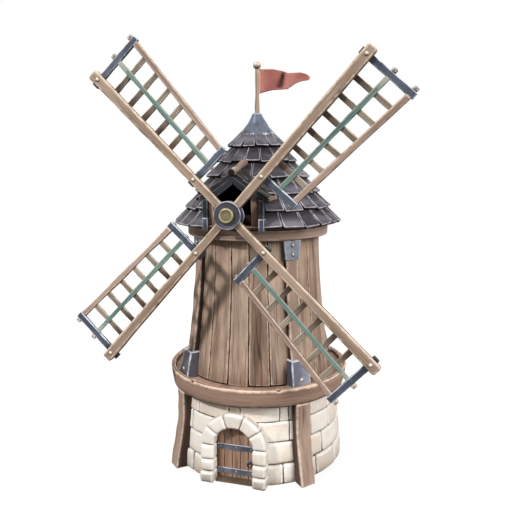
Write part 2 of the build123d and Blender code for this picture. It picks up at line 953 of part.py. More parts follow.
neck_bearing_forward = sill_back - seat_gap - beam_width / 2
whip_back = -whip_depth / 2


def windshaft():
    """The turned shaft: core between the whips, neck, taper and tail journal."""
    plate_back = whip_depth / 2 + hub_plate_thickness
    neck_end = along_shaft(neck_bearing_forward) + beam_width
    tail = along_shaft(tail_bearing_forward)
    half = beam_width / 2 + journal_cheek
    profile = Polyline(
        (0, 0, whip_depth / 2), (shaft_core_radius, 0, whip_depth / 2),
        (shaft_core_radius, 0, -plate_back), (shaft_radius, 0, -plate_back),
        (shaft_radius, 0, -neck_end), (shaft_radius * 0.75, 0, -tail + half + 60),
        (tail_journal_radius, 0, -tail + half),
        (tail_journal_radius, 0, -tail - half), (0, 0, -tail - half), close=True,
    )
    return in_rotor(revolve(make_face(profile), axis=Axis.Z))


def shaft_bore(radius):
    """A long cylinder on the shaft's line, for bearings."""
    bore = Cylinder(radius, 4 * hub_forward)
    return in_rotor(bore)


def neck_beam():
    """The beam behind the sill, with a half-round seat for the shaft's neck."""
    front = sill_back - seat_gap
    half = dormer_half - cheek_thickness - beam_end_gap
    beam = block(-half, half, -front, -front + beam_width, eave_height,
                 shaft_height(neck_bearing_forward))
    return beam - shaft_bore(shaft_radius + running_gap)


def tail_beam():
    """The beam across the cap, bored for the shaft's tail journal."""
    front = tail_bearing_forward + beam_width / 2
    half = sqrt((roof_foot_inner_radius - seat_gap) ** 2 - front**2)
    beam = block(-half, half, -front, -front + beam_width, eave_height,
                 eave_height + tail_beam_height)
    return beam - shaft_bore(tail_journal_radius + 0.1)


def hub_plates():
    """Two iron discs that clamp the whips, the back one bored for the core."""
    bevel = hub_bevel
    r = hub_radius
    near = whip_depth / 2
    far = near + hub_plate_thickness
    front = Polyline((0, 0, near), (r, 0, near), (r, 0, far - bevel),
                     (r - bevel, 0, far), (0, 0, far), close=True)
    core = shaft_core_radius + seat_gap
    back = Polyline((core, 0, -near), (r, 0, -near), (r, 0, -far), (core, 0, -far),
                    close=True)
    return [in_rotor(revolve(make_face(outline), axis=Axis.Z))
            for outline in (front, back)]


def hub_boss():
    """The brass boss in the middle of the front disc."""
    foot = whip_depth / 2 + hub_plate_thickness
    head = foot + boss_height
    outline = Polyline((0, 0, foot), (boss_radius, 0, foot),
                       (boss_radius, 0, head - boss_bevel),
                       (boss_radius - boss_bevel, 0, head), (0, 0, head), close=True)
    return in_rotor(revolve(make_face(outline), axis=Axis.Z))


def on_whip(shape, number):
    """Move a shape from a whip's frame (X out along the whip) to its place."""
    angle = stock_angles[number % 2] + 180 * (number // 2)
    return in_rotor(shape.rotate(Axis.Z, angle))


sail_plane = Plane(origin=(0, 0, whip_back + iron_housing), x_dir=(1, 0, 0),
                   z_dir=(0, -sin(radians(sail_pitch)), cos(radians(sail_pitch))))


def in_sail(shape):
    """Move a shape from the pitched plane of a sail to its whip's frame."""
    return shape.moved(sail_plane.location)


def whip_half_at(reach):
    """Half the whip's width at a distance out."""
    share = (reach - whip_root) / (whip_reach - whip_root)
    return (whip_root_width + share * (whip_tip_width - whip_root_width)) / 2


def sail_width_at(reach):
    """The sail's width from the whip's centre line, at a distance out."""
    share = (reach - inner_iron_radius) / (outer_iron_radius - inner_iron_radius)
    return inner_sail_width + share * (outer_sail_width - inner_sail_width)


def mid_rail_at(reach):
    """The mid rail's distance from the whip's centre line, at a distance out."""
    return (whip_half_at(reach) + sail_width_at(reach) - outer_rail_width) / 2


rail_start = inner_iron_radius + iron_width / 2
rail_end = outer_iron_radius - iron_width / 2


def iron_bars():
    """The two iron bars of one sail, housed in the back of its whip."""
    bars = []
    for reach in (inner_iron_radius, outer_iron_radius):
        bar = block(reach - iron_width / 2, reach + iron_width / 2,
                    -sail_width_at(reach) - iron_past_rail,
                    whip_half_at(reach) + iron_stub, -iron_depth, 0)
        bars.append(in_sail(bar))
    return bars


def whip_blank():
    """The whip before its seats for the irons are cut."""
    root = whip_half_at(whip_root)
    end = whip_half_at(whip_reach)
    outline = make_face(Polyline(
        (whip_root, -root, whip_back), (whip_reach, -end, whip_back),
        (whip_reach, end, whip_back), (whip_root, root, whip_back), close=True))
    tip = outline.vertices().sort_by(Axis.X)[-2:]
    outline = fillet(tip, whip_tip_round)
    return extrude(outline, amount=whip_depth, dir=(0, 0, 1))


def whip():
    """One whip, housed over the irons."""
    blank = whip_blank()
    for bar in iron_bars():
        blank = blank - bar
    return blank


def lattice():
    """One sail's outer rail between the irons, with the laths behind the whip."""
    corners = []
    for reach, edge in ((rail_start, 0), (rail_end, 0),
                        (rail_end, outer_rail_width), (rail_start, outer_rail_width)):
        corners.append((reach, -sail_width_at(reach) + edge, -rail_sunk))
    outline = make_face(Polyline(*corners, close=True))
    frame = extrude(outline, amount=outer_rail_depth, dir=(0, 0, -1))
    foot = -rail_sunk - outer_rail_depth
    pitch = (outer_iron_radius - inner_iron_radius) / (lath_count + 1)
    for i in range(lath_count):
        reach = inner_iron_radius + (i + 1) * pitch
        far = -sail_width_at(reach) + outer_rail_width / 2
        lath = block(reach - lath_width / 2, reach + lath_width / 2, far,
                     whip_half_at(reach) - 60, foot, foot + lath_depth)
        frame = frame + lath
    return in_sail(frame) - whip_blank()


def mid_rail():
    """The rail between the irons, in front of the laths."""
    corners = []
    for reach, side in ((rail_start, -1), (rail_end, -1), (rail_end, 1),
                        (rail_start, 1)):
        offset = -mid_rail_at(reach) + side * mid_rail_width / 2
        corners.append((reach, offset, -mid_rail_sunk))
    face = make_face(Polyline(*corners, close=True))
    return in_sail(extrude(face, amount=mid_rail_depth, dir=(0, 0, -1)))


def rail_pegs():
    """The keyed ends of a sail's two rails, past its two irons."""
    pegs = []
    middle = -iron_depth / 2
    for reach, side in ((inner_iron_radius, -1), (outer_iron_radius, 1)):
        near = reach + side * iron_width / 2
        ends = sorted((near, near + side * peg_reach))
        rail = sail_width_at(reach) - outer_rail_width / 2
        for offset in (-rail, -mid_rail_at(reach)):
            peg = block(*ends, offset - peg_width / 2, offset + peg_width / 2,
                        middle - peg_depth / 2, middle + peg_depth / 2)
            pegs.append(in_sail(peg))
    return pegs


# ================================================================ writing
def main():
    """Write every node."""
    left, right, back, over_door = base_walls()
    write("base_wall_left", left)
    write("base_wall_right", right)
    write("base_wall_back", back)
    write("base_wall_over_door", over_door)
    write("door_surround", *door_surround())
    write("ground_floor", ground_floor())
    write("threshold", threshold())
    write("buttress_posts", *buttress_posts())

    write("door_leaf", door_leaf())
    write("door_straps", *door_straps())
    write("door_handle", door_handle())

    write("gallery_joists", *gallery_joists())
    write("gallery_deck", *gallery_deck())
    write("gallery_rim", *gallery_rim())

    for name, azimuth in (("front", 0), ("right", 90), ("back", 180), ("left", -90)):
        write(f"wall_{name}", wall_panel(azimuth))
    write("corner_posts", *corner_posts())
    write("post_shoes", *post_shoes())
    write("post_plates", *post_plates())
    write("curb_ring", *curb_ring())

    write("cap_ring", *cap_ring())
    front_left, front_right, back_right, back_left = roof_quarters()
    write("roof_front_left", front_left)
    write("roof_front_right", front_right)
    write("roof_back_right", back_right)
    write("roof_back_left", back_left)
    write("finial_cone", finial_cone())
    write("flag_pole", flag_pole())
    write("flag", flag())
    write("dormer_sill", dormer_sill())
    write("dormer_sides", dormer_side(1), dormer_side(-1))
    write("dormer_roof", dormer_roof())
    write("gable_rafters", *gable_rafters())
    write("hanging_posts", *hanging_posts())
    write("ridge_log", ridge_log())
    write("eave_logs", *eave_logs())
    write("neck_beam", neck_beam())
    write("tail_beam", tail_beam())

    write("windshaft", windshaft())
    write("hub_plates", *hub_plates())
    write("hub_boss", hub_boss())
    irons = []
    mid_rails = []
    pegs = []
    for i in range(sail_count):
        write(f"whip_{i + 1}", on_whip(whip(), i))
        write(f"lattice_{i + 1}", on_whip(lattice(), i))
        mid_rails.append(on_whip(mid_rail(), i))
        irons.extend(on_whip(bar, i) for bar in iron_bars())
        pegs.extend(on_whip(peg, i) for peg in rail_pegs())
    write("mid_rails", *mid_rails)
    write("sail_irons", *irons)
    write("rail_pegs", *pegs)


main()
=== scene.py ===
import json
from math import cos, pi, radians, sin, tan
from types import SimpleNamespace

import bpy
import numpy as np
from mathutils import Matrix, Vector


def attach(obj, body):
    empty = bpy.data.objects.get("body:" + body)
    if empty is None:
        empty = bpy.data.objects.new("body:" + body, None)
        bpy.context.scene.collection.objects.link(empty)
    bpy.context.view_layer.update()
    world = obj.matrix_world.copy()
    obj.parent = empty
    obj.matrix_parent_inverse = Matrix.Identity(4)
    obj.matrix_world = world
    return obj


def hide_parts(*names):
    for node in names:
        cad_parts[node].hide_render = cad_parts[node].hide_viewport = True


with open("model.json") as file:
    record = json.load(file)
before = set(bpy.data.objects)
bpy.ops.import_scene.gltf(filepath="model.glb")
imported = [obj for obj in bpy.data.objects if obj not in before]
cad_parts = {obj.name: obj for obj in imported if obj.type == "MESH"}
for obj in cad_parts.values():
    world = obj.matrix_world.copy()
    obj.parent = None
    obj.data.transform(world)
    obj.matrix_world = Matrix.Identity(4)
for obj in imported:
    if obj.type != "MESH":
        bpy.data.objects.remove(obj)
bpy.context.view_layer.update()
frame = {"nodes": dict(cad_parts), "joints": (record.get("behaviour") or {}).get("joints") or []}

# -------- base stones
# Dressed limestone blocks in four courses, bedded in brown mortar on a battered
# round wall. Each block's face is a soft pillow with edges rounded by weather.


def paint(red, green, blue):
    """A colour as seen on screen, 0 to 255, in the linear values a shader takes."""
    seen = np.array((red, green, blue)) / 255
    linear = np.where(seen <= 0.04045, seen / 12.92, ((seen + 0.055) / 1.055) ** 2.4)
    return (*linear, 1.0)


def put(tree, kind, inputs=(), **options):
    """Add a shader node; an input is a plain value or an output to link from."""
    made = tree.nodes.new("ShaderNode" + kind)
    for key, value in options.items():
        setattr(made, key, value)
    for socket, value in dict(inputs).items():
        if isinstance(value, bpy.types.NodeSocket):
            tree.links.new(value, made.inputs[socket])
        else:
            made.inputs[socket].default_value = value
    return made


def noise(tree, place, stretch, detail=2.0):
    """Noise over a place that is first stretched by three factors."""
    scaled = put(tree, "Mapping", {0: place, 3: stretch}).outputs[0]
    return put(tree, "TexNoise", {"Vector": scaled, "Scale": 1.0,
                                  "Detail": detail}).outputs[0]


def number(tree, operation, *values):
    """One step of arithmetic."""
    return put(tree, "Math", dict(enumerate(values)), operation=operation).outputs[0]


def weighed(tree, first, share, second, rest):
    """The sum of two values, each times its own weight."""
    return number(tree, "MULTIPLY_ADD", first, share,
                  number(tree, "MULTIPLY", second, rest))


def between(tree, value, low, high, start=0.0, end=1.0):
    """Smooth rise from start to end as a value goes from low to high."""
    return put(tree, "MapRange", {0: value, 1: low, 2: high, 3: start, 4: end},
               interpolation_type="SMOOTHSTEP").outputs[0]


def mixed(tree, share, first, second, how="MIX"):
    """Two colours mixed by a share."""
    return put(tree, "Mix", {0: share, 6: first, 7: second}, data_type="RGBA",
               blend_type=how).outputs[2]


def shader_group(name, inputs, outputs):
    """A new node group with typed inputs and outputs."""
    tree = bpy.data.node_groups.new(name, "ShaderNodeTree")
    for way, sockets in (("INPUT", inputs), ("OUTPUT", outputs)):
        for label, kind in sockets.items():
            tree.interface.new_socket(name=label, in_out=way,
                                      socket_type="NodeSocket" + kind)
    start = tree.nodes.new("NodeGroupInput").outputs
    end = tree.nodes.new("NodeGroupOutput").inputs
    return tree, start, end


def wear_dirt_and_painted_light_group():
    """Dirt and painted shade darken a colour, and then its edges turn pale in patches,
    from wear and from painted highlight.
    """
    tree, start, end = shader_group(
        "Worn edges",
        {"Colour": "Color", "Edge colour": "Color", "Edge": "Float",
         "Place": "Vector", "Wear": "Float", "Dirt": "Float",
         "Dirt colour": "Color"}, {"Colour": "Color"})
    patches = between(tree, noise(tree, start["Place"], (5, 5, 5), 3), 0.3, 0.7,
                      0.45, 1.0)
    raw = number(tree, "MULTIPLY", start["Edge"], patches)
    mask = number(tree, "MULTIPLY", between(tree, raw, 0.12, 0.75), start["Wear"])
    dirty_and_shaded = mixed(tree, 1.0, start["Colour"], start["Dirt colour"], "MULTIPLY")
    colour = mixed(tree, start["Dirt"], start["Colour"], dirty_and_shaded)
    tree.links.new(mixed(tree, mask, colour, start["Edge colour"]), end["Colour"])
    return tree


def mottle_group():
    """Cloudy colour of stone or metal: broad clouds, small spots and fine pits."""
    tree, start, end = shader_group(
        "Mottle",
        {"Place": "Vector", "Light": "Color", "Dark": "Color", "Tone": "Float"},
        {"Colour": "Color", "Height": "Float", "Clouds": "Float"})
    clouds = noise(tree, start["Place"], (1.1, 1.1, 1.1), 3)
    spots = noise(tree, start["Place"], (7, 7, 7), 4)
    pits = noise(tree, start["Place"], (38, 38, 38), 3)
    share = weighed(tree, spots, 0.35, clouds, 0.65)
    share = number(tree, "MULTIPLY_ADD", start["Tone"], 0.22,
                   number(tree, "SUBTRACT", share, 0.11))
    colour = mixed(tree, between(tree, share, 0.36, 0.66), start["Light"],
                   start["Dark"])
    tree.links.new(colour, end["Colour"])
    tree.links.new(weighed(tree, spots, 0.6, pits, 0.4), end["Height"])
    tree.links.new(clouds, end["Clouds"])
    return tree


wear_dirt_and_painted_light = wear_dirt_and_painted_light_group()
mottle = mottle_group()


def attribute(tree, name, output=2):
    """A value or vector stored on the piece's own points."""
    return put(tree, "Attribute", attribute_name=name).outputs[output]


def object_place(tree):
    """Object coordinates, for the pieces carried over from the CAD model."""
    return put(tree, "TexCoord").outputs["Object"]


def begin_material(name, **values):
    """A material with its Principled shader, whose plain values are set directly."""
    material = bpy.data.materials.new(name)
    material.use_nodes = True
    shader = material.node_tree.nodes["Principled BSDF"]
    for socket, value in values.items():
        shader.inputs[socket.replace("_", " ")].default_value = value
    return material, material.node_tree, shader


def weathered_and_shaded_colour(tree, colour, place, edge_colour, wear, dirt):
    """A colour after dirt, painted shade, wear and painted highlight; a carried CAD
    piece has no masks for them.
    """
    worn = {"Colour": colour, "Place": place, "Wear": 0.0,
            "Edge colour": (0, 0, 0, 1), "Dirt colour": (*dirt, 1)}
    if edge_colour:
        worn |= {"Edge colour": paint(*edge_colour), "Edge": attribute(tree, "edge"),
                 "Wear": wear, "Dirt": attribute(tree, "dirt")}
    return put(tree, "Group", worn, node_tree=wear_dirt_and_painted_light).outputs[0]


def finish_shader(tree, shader, colour, height, relief, roughness=None, strength=0.5):
    """Link a colour, a roughness, and a bump whose relief is in metres."""
    bump = put(tree, "Bump", {"Height": height, "Distance": relief,
                              "Strength": strength})
    for socket, value in (("Base Color", colour), ("Roughness", roughness),
                          ("Normal", bump.outputs[0])):
        if value:
            tree.links.new(value, shader.inputs[socket])


def mottled(name, light, dark, edge_colour=None, wear=1.0, relief=0.004,
            rough=(0.6, 0.8), dirt=(0.2, 0.19, 0.2), **values):
    """A mottled stone or metal finish with pale worn edges, and with dirt and painted
    shade from the dirt mask.

    A CAD piece that is carried over gets no edge colour.
    """
    material, tree, shader = begin_material(name, **values)
    place = object_place(tree)
    tone = attribute(tree, "tone") if edge_colour else 0.5
    base = put(tree, "Group", {"Place": place, "Light": paint(*light),
                               "Dark": paint(*dark), "Tone": tone},
               node_tree=mottle).outputs
    colour = weathered_and_shaded_colour(tree, base["Colour"], place, edge_colour, wear, dirt)
    finish_shader(tree, shader, colour, base["Height"], relief,
                  between(tree, base["Clouds"], 0.3, 0.7, *rough))
    return material


def held(value):
    """A value kept between 0 and 1."""
    return np.clip(value, 0, 1)


def fading(place, full, none):
    """1 at the full place and before it, falling evenly to 0 at the other."""
    return held((none - place) / (none - full))


def each(values):
    """One value for each bar, ready to spread over its grid of points."""
    return np.asarray(values)[:, None, None]


def unit(way):
    """Directions scaled to a length of one."""
    return way / np.maximum(np.linalg.norm(way, axis=-1, keepdims=True), 1e-9)


def form_of(at, out, grain, edge=0.0, tone=0.0, dirt=0.0):
    """Like pieces as grids of points, with outward directions, grain and masks."""
    spread, blank = 0 * at, np.zeros(at.shape[:3])
    return SimpleNamespace(at=at, out=out + spread, grain=grain + spread,
                           edge=edge + blank, tone=tone + blank, dirt=dirt + blank)


def bars(size, edge, fade, corner=4, flats=3, rounds=3, spans=6):
    """Bars with rounded edges, all of one mesh layout.

    A bar runs along X from 0 to its length, with its width along Y and its depth
    along Z. Its section is a rounded rectangle: a point of the inner rectangle plus
    the edge radius times its outward direction. Near an end, that radius follows a
    quarter circle down to the end face. The edge mask is 1 on the rounding and falls
    to 0 over the fade distance. The dirt mask holds painted shade here, growing from
    the front, at most Z, to the back.
    The last four numbers count the points of a corner, of a side between corners, of
    an end's rounding, and along the plain length.
    """
    size = np.atleast_2d(np.asarray(size, float))
    radius = np.minimum(edge, 0.4 * size.min(1))[:, None]
    half = size[:, 1:] / 2 - radius
    signs = np.array([(1, 1), (-1, 1), (-1, -1), (1, -1)])
    centres, directions = [], []
    turn = np.linspace(0, pi / 2, corner)
    for quarter in range(4):
        here, there = signs[quarter] * half, signs[(quarter + 1) % 4] * half
        angle = turn + quarter * pi / 2
        centres.append(np.repeat(here[:, None], corner, 1))
        directions.append(np.stack([np.cos(angle), np.sin(angle)], 1))
        if flats:
            length = np.linalg.norm(there - here, axis=1)
            inset = np.clip(fade / length, 0.03, 0.3)[:, None]
            share = inset + (1 - 2 * inset) * np.linspace(0, 1, flats)
            centres.append(here[:, None] + share[..., None] * (there - here)[:, None])
            outward = (quarter + 1) * pi / 2
            directions.append(np.tile((cos(outward), sin(outward)), (flats, 1)))
    centres = np.concatenate(centres, 1)
    directions = np.concatenate(directions)
    ring_mask = np.tile(np.repeat((1.0, 0.0), (corner, flats)), 4)

    rise = np.radians(np.linspace(20, 90, rounds))
    near = np.concatenate([[0], 1 - np.cos(rise), [1]])
    swell = np.concatenate([[0.1], np.sin(rise), [1]])
    inner = np.concatenate([[0.7], np.ones(rounds + 1)])
    end_mask = np.concatenate([[0], np.ones(rounds), [0]])
    tip = np.concatenate([-np.cos(rise[:1]), -np.cos(rise), [0]])
    start = radius * near
    start[:, -1] += np.minimum(fade, 0.2 * size[:, 0])
    length = size[:, :1]
    share = np.linspace(0, 1, spans + 2)[1:-1]
    middle = start[:, -1:] + share * (length - 2 * start[:, -1:])
    along = np.concatenate([start, middle, (length - start)[:, ::-1]], 1)
    swell, inner, mask, lean = (
        np.concatenate([profile, np.full(spans, plain), sign * profile[::-1]])
        for profile, plain, sign in ((swell, 1.0, 1), (inner, 1.0, 1),
                                     (end_mask, 0.0, 1), (tip, 0.0, -1)))

    at = np.empty((len(size), along.shape[1], centres.shape[1], 3))
    at[..., 0] = along[..., None]
    grown = radius[:, None, None] * swell[:, None, None] * directions
    at[..., 1:] = centres[:, None] * inner[:, None, None] + grown
    out = np.empty(at.shape[1:])
    out[..., 0] = lean[:, None]
    out[..., 1:] = directions * np.sqrt(1 - lean**2)[:, None, None]
    worn = np.maximum(mask[:, None], ring_mask)
    worn[[0, -1]] = 0
    # Painted shade, growing towards the back of each bar.
    behind = 0.5 - at[..., 2] / each(size[:, 2])
    return form_of(at, out, at, worn, 0.0, 0.9 * held(behind * 4 - 0.35))


def faces_of(rows, ring):
    """Quads between neighbouring rings, and one flat face on each end."""
    i = np.arange(rows - 1)[:, None]
    j = np.arange(ring)
    after = (j + 1) % ring
    quads = np.stack([i * ring + j, i * ring + after, (i + 1) * ring + after,
                      (i + 1) * ring + j], -1).reshape(-1, 4)
    return quads, j[::-1], j + (rows - 1) * ring


def toned(form, seed, spread=1.0):
    """Give each bar its own shade, and its own stretch of grain."""
    rng = np.random.default_rng(seed)
    count = len(form.at)
    form.tone += each(0.5 + spread * (rng.random(count) - 0.5))
    form.grain = form.grain + rng.random((count, 1, 1, 3)) * 20
    return form


def uneven(form, size, amount, seed):
    """Move points in or out by the sum of four slow plane waves for each bar."""
    rng = np.random.default_rng(seed)
    count = len(form.at)
    way = unit(rng.normal(size=(4, count, 3)))
    wave = size * (0.6 + 0.8 * rng.random((4, count)))
    phase = rng.random((4, count)) * 2 * pi
    total = 0
    for k in range(4):
        run = np.einsum("nijc,nc->nij", form.at, way[k])
        total = total + np.sin(2 * pi * run / each(wave[k]) + each(phase[k]))
    form.at = form.at + (amount / 2 * total)[..., None] * form.out
    return form


def soiled_and_shaded(form, amount):
    """Dirt and painted shade of at least an amount, from 0 to 1."""
    form.dirt = np.maximum(form.dirt, amount)
    return form


def build(name, forms, material, body, slot, *nodes):
    """One mesh from several forms, with its grain, edge, tone, and dirt and painted
    shade on its points.

    A form whose faces point inwards, by the sign of its volume, is turned round. The
    pale edge mask is faded on edges that face down, so that edges that face up stay
    pale as a painted highlight, and edges that face down get painted shade in the
    dirt mask. The piece is fixed to its body and its finish, in place of the CAD
    nodes that it details.
    """
    stored = {key: [] for key in ("at", "grain", "edge", "tone", "dirt")}
    faces, start = [], 0
    for form in forms:
        count, rows, ring = form.at.shape[:3]
        quads, first, last = faces_of(rows, ring)
        points = form.at[0].reshape(-1, 3)
        a, b, c, d = (points[quads[:, k]] - points.mean(0) for k in range(4))
        if np.einsum("ij,ij->", a, np.cross(b, c) + np.cross(c, d)) < 0:
            quads, first, last = quads[:, ::-1], first[::-1], last[::-1]
        offsets = start + np.arange(count)[:, None] * rows * ring
        faces += (quads + offsets[:, None]).reshape(-1, 4).tolist()
        faces += (first + offsets).tolist() + (last + offsets).tolist()
        start += count * rows * ring
        for key, parts in stored.items():
            parts.append(getattr(form, key).reshape(count * rows * ring, -1))
    at, grain, edge, tone, dirt = (np.concatenate(v) for v in stored.values())
    mesh = bpy.data.meshes.new(name)
    mesh.from_pydata(at, [], faces)
    upward = np.empty(at.shape)
    mesh.vertex_normals.foreach_get("vector", upward.ravel())
    upward = upward[:, 2:]
    # Painted shade on edges that face down; edges that face up keep the pale edge mask as a
    # painted highlight.
    dirt = held(dirt + 0.6 * edge * held(-1.5 * upward))
    edge = edge * np.clip(0.65 + 0.9 * upward, 0.05, 1)
    for label, kind, key, values in (
            ("grain", "FLOAT_VECTOR", "vector", grain), ("edge", "FLOAT", "value", edge),
            ("tone", "FLOAT", "value", tone), ("dirt", "FLOAT", "value", dirt)):
        layer = mesh.attributes.new(label, kind, "POINT")
        layer.data.foreach_set(key, values.astype(np.float32).ravel())
    mesh.polygons.foreach_set("use_smooth", np.ones(len(faces), bool))
    mesh.materials.append(material)
    piece = bpy.data.objects.new(name, mesh)
    bpy.context.scene.collection.objects.link(piece)
    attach(piece, body)
    if nodes:
        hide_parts(*nodes)
    return piece


def finish_nodes(material, *nodes):
    """Give CAD nodes that stay in view their material."""
    for node in nodes:
        mesh = frame["nodes"][node].data
        mesh.materials.clear()
        mesh.materials.append(material)


def round_tower(form, angle, radius, height):
    """Points at an angle from the front, a distance from the axis and a height."""
    form.at = np.stack([radius * np.sin(angle), -radius * np.cos(angle), height], -1)
    return form


def curved(form, radius_at, lead=0.0):
    """Bend bars round the tower: X is an angle from the front, Y a height, Z a step out.

    The lead is added to X, and the step to the radius at the point's height.
    """
    angle = lead + form.at[..., 0]
    return round_tower(form, angle, radius_at(form.at[..., 1]) + form.at[..., 2],
                       form.at[..., 1])


wall_foot, wall_head, wall_height = 3.15, 2.88, 2.9
stone_proud, stone_sunk, floor_clear = 0.06, 0.1, 0.004
course_heights = (0.0, 0.74, 1.53, 2.25, 2.893)
course_joints = (
    (-125, -102, -78, -57, -45, -33, -15, None, 15, 32, 41, 57, 79, 101, 124),
    (-117, -91, -66, -40, -15, None, 15, 40, 64, 91, 116),
    (-124, -99, -78, -57, -37, -15.5, None, 15.5, 37, 54, 73.5, 90, 112),
    (-119, -92, -66, -41, -30, -4.5, 3.5, 30.5, 37, 54, 73, 97, 121),
)
back_stone_turn, back_stone_shift = 23, 0.05
# Each pair is for the lower two courses and for the upper two.
stone_gaps, stone_edges = (0.042, 0.026), (0.064, 0.05)
stone_swells, under_shades = (0.036, 0.016), (0.26, 0.1)
# Darkening towards the foot, and painted shade under the gallery.
foot_darkening_high, foot_darkening, gallery_shade_full, gallery_shade_none, gallery_shade = (
    0.85, 0.5, 2.8, 2.3, 0.2)


def wall_radius(height):
    """Radius of the battered wall's face at a height."""
    return wall_foot + (wall_head - wall_foot) * height / wall_height


def pillowed(form, size, amount, power=3.0):
    """Swell front faces: amount x (1 - |x|^p) x (1 - |y|^p), x and y from -1 to 1."""
    across = np.abs(form.at[..., 0] / each(size[:, 0]) * 2 - 1)
    up = np.abs(form.at[..., 1] / each(size[:, 1]) * 2)
    swell = held(1 - across**power) * held(1 - up**power)
    form.at[..., 2] += (form.at[..., 2] > 0) * amount * swell
    return form


def base_stones():
    """Four courses of blocks bent round the wall; the lower two are rounder.

    Joints are angles from the front, with None over the doorway. The back of each
    course is shared out in stones of about one width.
    """
    rng = np.random.default_rng(11)
    rows = []
    for foot, head, joints in zip(course_heights, course_heights[1:], course_joints):
        rest = 360 + joints[0] - joints[-1]
        parts = round(rest / back_stone_turn)
        cuts = np.linspace(0, 1, parts + 1)[1:-1] + rng.uniform(
            -back_stone_shift, back_stone_shift, parts - 1)
        turns = [*joints, *(joints[-1] + rest * cuts), 360 + joints[0]]
        rows += [(a, b, foot, head) for a, b in zip(turns, turns[1:])
                 if a is not None and b is not None]
    first, last, foot, head = np.array(rows).T
    upper = (foot > course_heights[1]).astype(int)
    gap, edge, swell, under = (np.array(pair)[upper] for pair in (
        stone_gaps, stone_edges, stone_swells, under_shades))
    level = (foot + head) / 2
    nominal = wall_radius(level)
    tall = head - foot - gap
    size = np.stack([np.radians(last - first) * nominal - gap, tall,
                     np.full(len(rows), stone_proud + stone_sunk)], 1)
    form = pillowed(bars(size, edge, 0.05, 5, 6, 4, 8), size, each(swell))
    shade = each(under) * held(-0.3 - form.at[..., 1] / each(tall) * 2)
    toned(uneven(form, 0.7, 0.009, 12), 13)
    form.at[..., 0] /= each(nominal)
    form.at[..., 1] = np.maximum(form.at[..., 1] + each(level), floor_clear)
    form.at[..., 2] += (stone_proud - stone_sunk) / 2
    height = form.at[..., 1]
    # Darker towards the foot, with painted shade under the gallery and below each
    # stone.
    foot_darkened = foot_darkening * fading(height, 0, foot_darkening_high) ** 1.3
    gallery_shaded = gallery_shade * fading(height, gallery_shade_full, gallery_shade_none)
    soiled_and_shaded(form, foot_darkened + gallery_shaded + shade)
    return curved(form, wall_radius, each(np.radians(first) + gap / 2 / nominal))


limestone = mottled("Limestone blocks", (244, 236, 225), (232, 217, 201),
                    (252, 247, 240), 0.8, 0.005, dirt=(0.22, 0.17, 0.12),
                    Specular_IOR_Level=0.25)
mortar = mottled("Lime mortar", (126, 110, 92), (88, 76, 62), relief=0.01,
                 Specular_IOR_Level=0.25)
build("base_stones", [base_stones()], limestone, "tower", "limestone")
finish_nodes(mortar, "base_wall_left", "base_wall_right", "base_wall_back",
             "base_wall_over_door", "ground_floor")

# -------- door surround
# Five arch stones on three jamb stones a side, cut from smooth pale stone and
# rounded at every edge. They stand proud of the wall and frame the doorway.
door_half, spring, arch_depth = 0.70, 1.39, 0.50
arch_extra, arch_step = np.array([0, 0, 0.03, 0, 0]), radians(36)
arch_front, surround_back, surround_gap = 3.26, 2.88, 0.014
jamb_levels, jamb_fronts = (0.0, 0.42, 0.86, spring), (3.36, 3.32, 3.28)
jamb_darkening_low, jamb_darkening_high, jamb_darkening = 0.1, 1.1, 0.75


def placed(form, origin, along, across, deep):
    """Carry bars from their own axes to an origin and three directions."""
    origin, along, across, deep = (
        np.broadcast_to(np.asarray(v, float), (len(form.at), 3))[:, None, None]
        for v in (origin, along, across, deep))
    form.at = (origin + form.at[..., :1] * along + form.at[..., 1:2] * across
               + form.at[..., 2:] * deep)
    return form


def surround_form(size, edge, swell, spans, seed):
    """Smooth stones, with little painted shade at the back."""
    form = pillowed(bars(size, edge, 0.04, 5, 6, 4, spans), size, swell)
    form.dirt *= 0.35
    return toned(uneven(form, 0.6, 0.008, seed), seed + 1)


def surround_stones():
    """Jamb stones are straight; an arch stone's X is its arc, Y its radius."""
    nominal = door_half + arch_depth / 2
    side = np.repeat((-1, 1), 3)
    foot, head = np.tile(jamb_levels[:-1], 2), np.tile(jamb_levels[1:], 2)
    front = np.tile(jamb_fronts, 2)
    jambs = surround_form(np.stack([head - foot - surround_gap, np.full(6, arch_depth),
                                    front - surround_back], 1), 0.08, 0.022, 6, 21)
    origin = np.stack([side * nominal, -(front + surround_back) / 2,
                       foot + surround_gap / 2], 1)
    placed(jambs, origin, (0, 0, 1), (1, 0, 0), (0, -1, 0))
    jambs.at[..., 2] = np.maximum(jambs.at[..., 2], floor_clear)
    # Darker towards the foot.
    soiled_and_shaded(jambs, jamb_darkening * fading(jambs.at[..., 2], jamb_darkening_low,
                                            jamb_darkening_high) ** 2)

    arc = arch_step * nominal - surround_gap
    size = np.stack([np.full(5, arc), arch_depth + arch_extra,
                     np.full(5, arch_front - surround_back)], 1)
    arch = surround_form(size, 0.075, 0.018, 8, 23)
    turn = (-pi / 2 + each(np.arange(5)) * arch_step
            + (arch.at[..., 0] + surround_gap / 2) / nominal)
    reach = nominal + each(arch_extra) / 2 + arch.at[..., 1]
    forward = -(arch_front + surround_back) / 2 - arch.at[..., 2]
    arch.at = np.stack([reach * np.sin(turn), forward,
                        spring + reach * np.cos(turn)], -1)
    return [jambs, arch]


pale_stone = mottled("Pale dressed stone", (238, 231, 221), (226, 214, 200),
                     (246, 241, 234), 0.7, dirt=(0.22, 0.17, 0.12),
                     Specular_IOR_Level=0.25)
trodden_stone = mottled("Trodden threshold", (122, 100, 82), (84, 66, 54),
                        relief=0.005)
build("door_stones", surround_stones(), pale_stone, "tower", "pale_limestone",
      "door_surround")
finish_nodes(trodden_stone, "threshold")

# -------- door
# Five upright oak boards on a second skin of boards behind, with an arched head.
# Two forged straps with round bolts cross it, and a drop ring hangs on a plate.


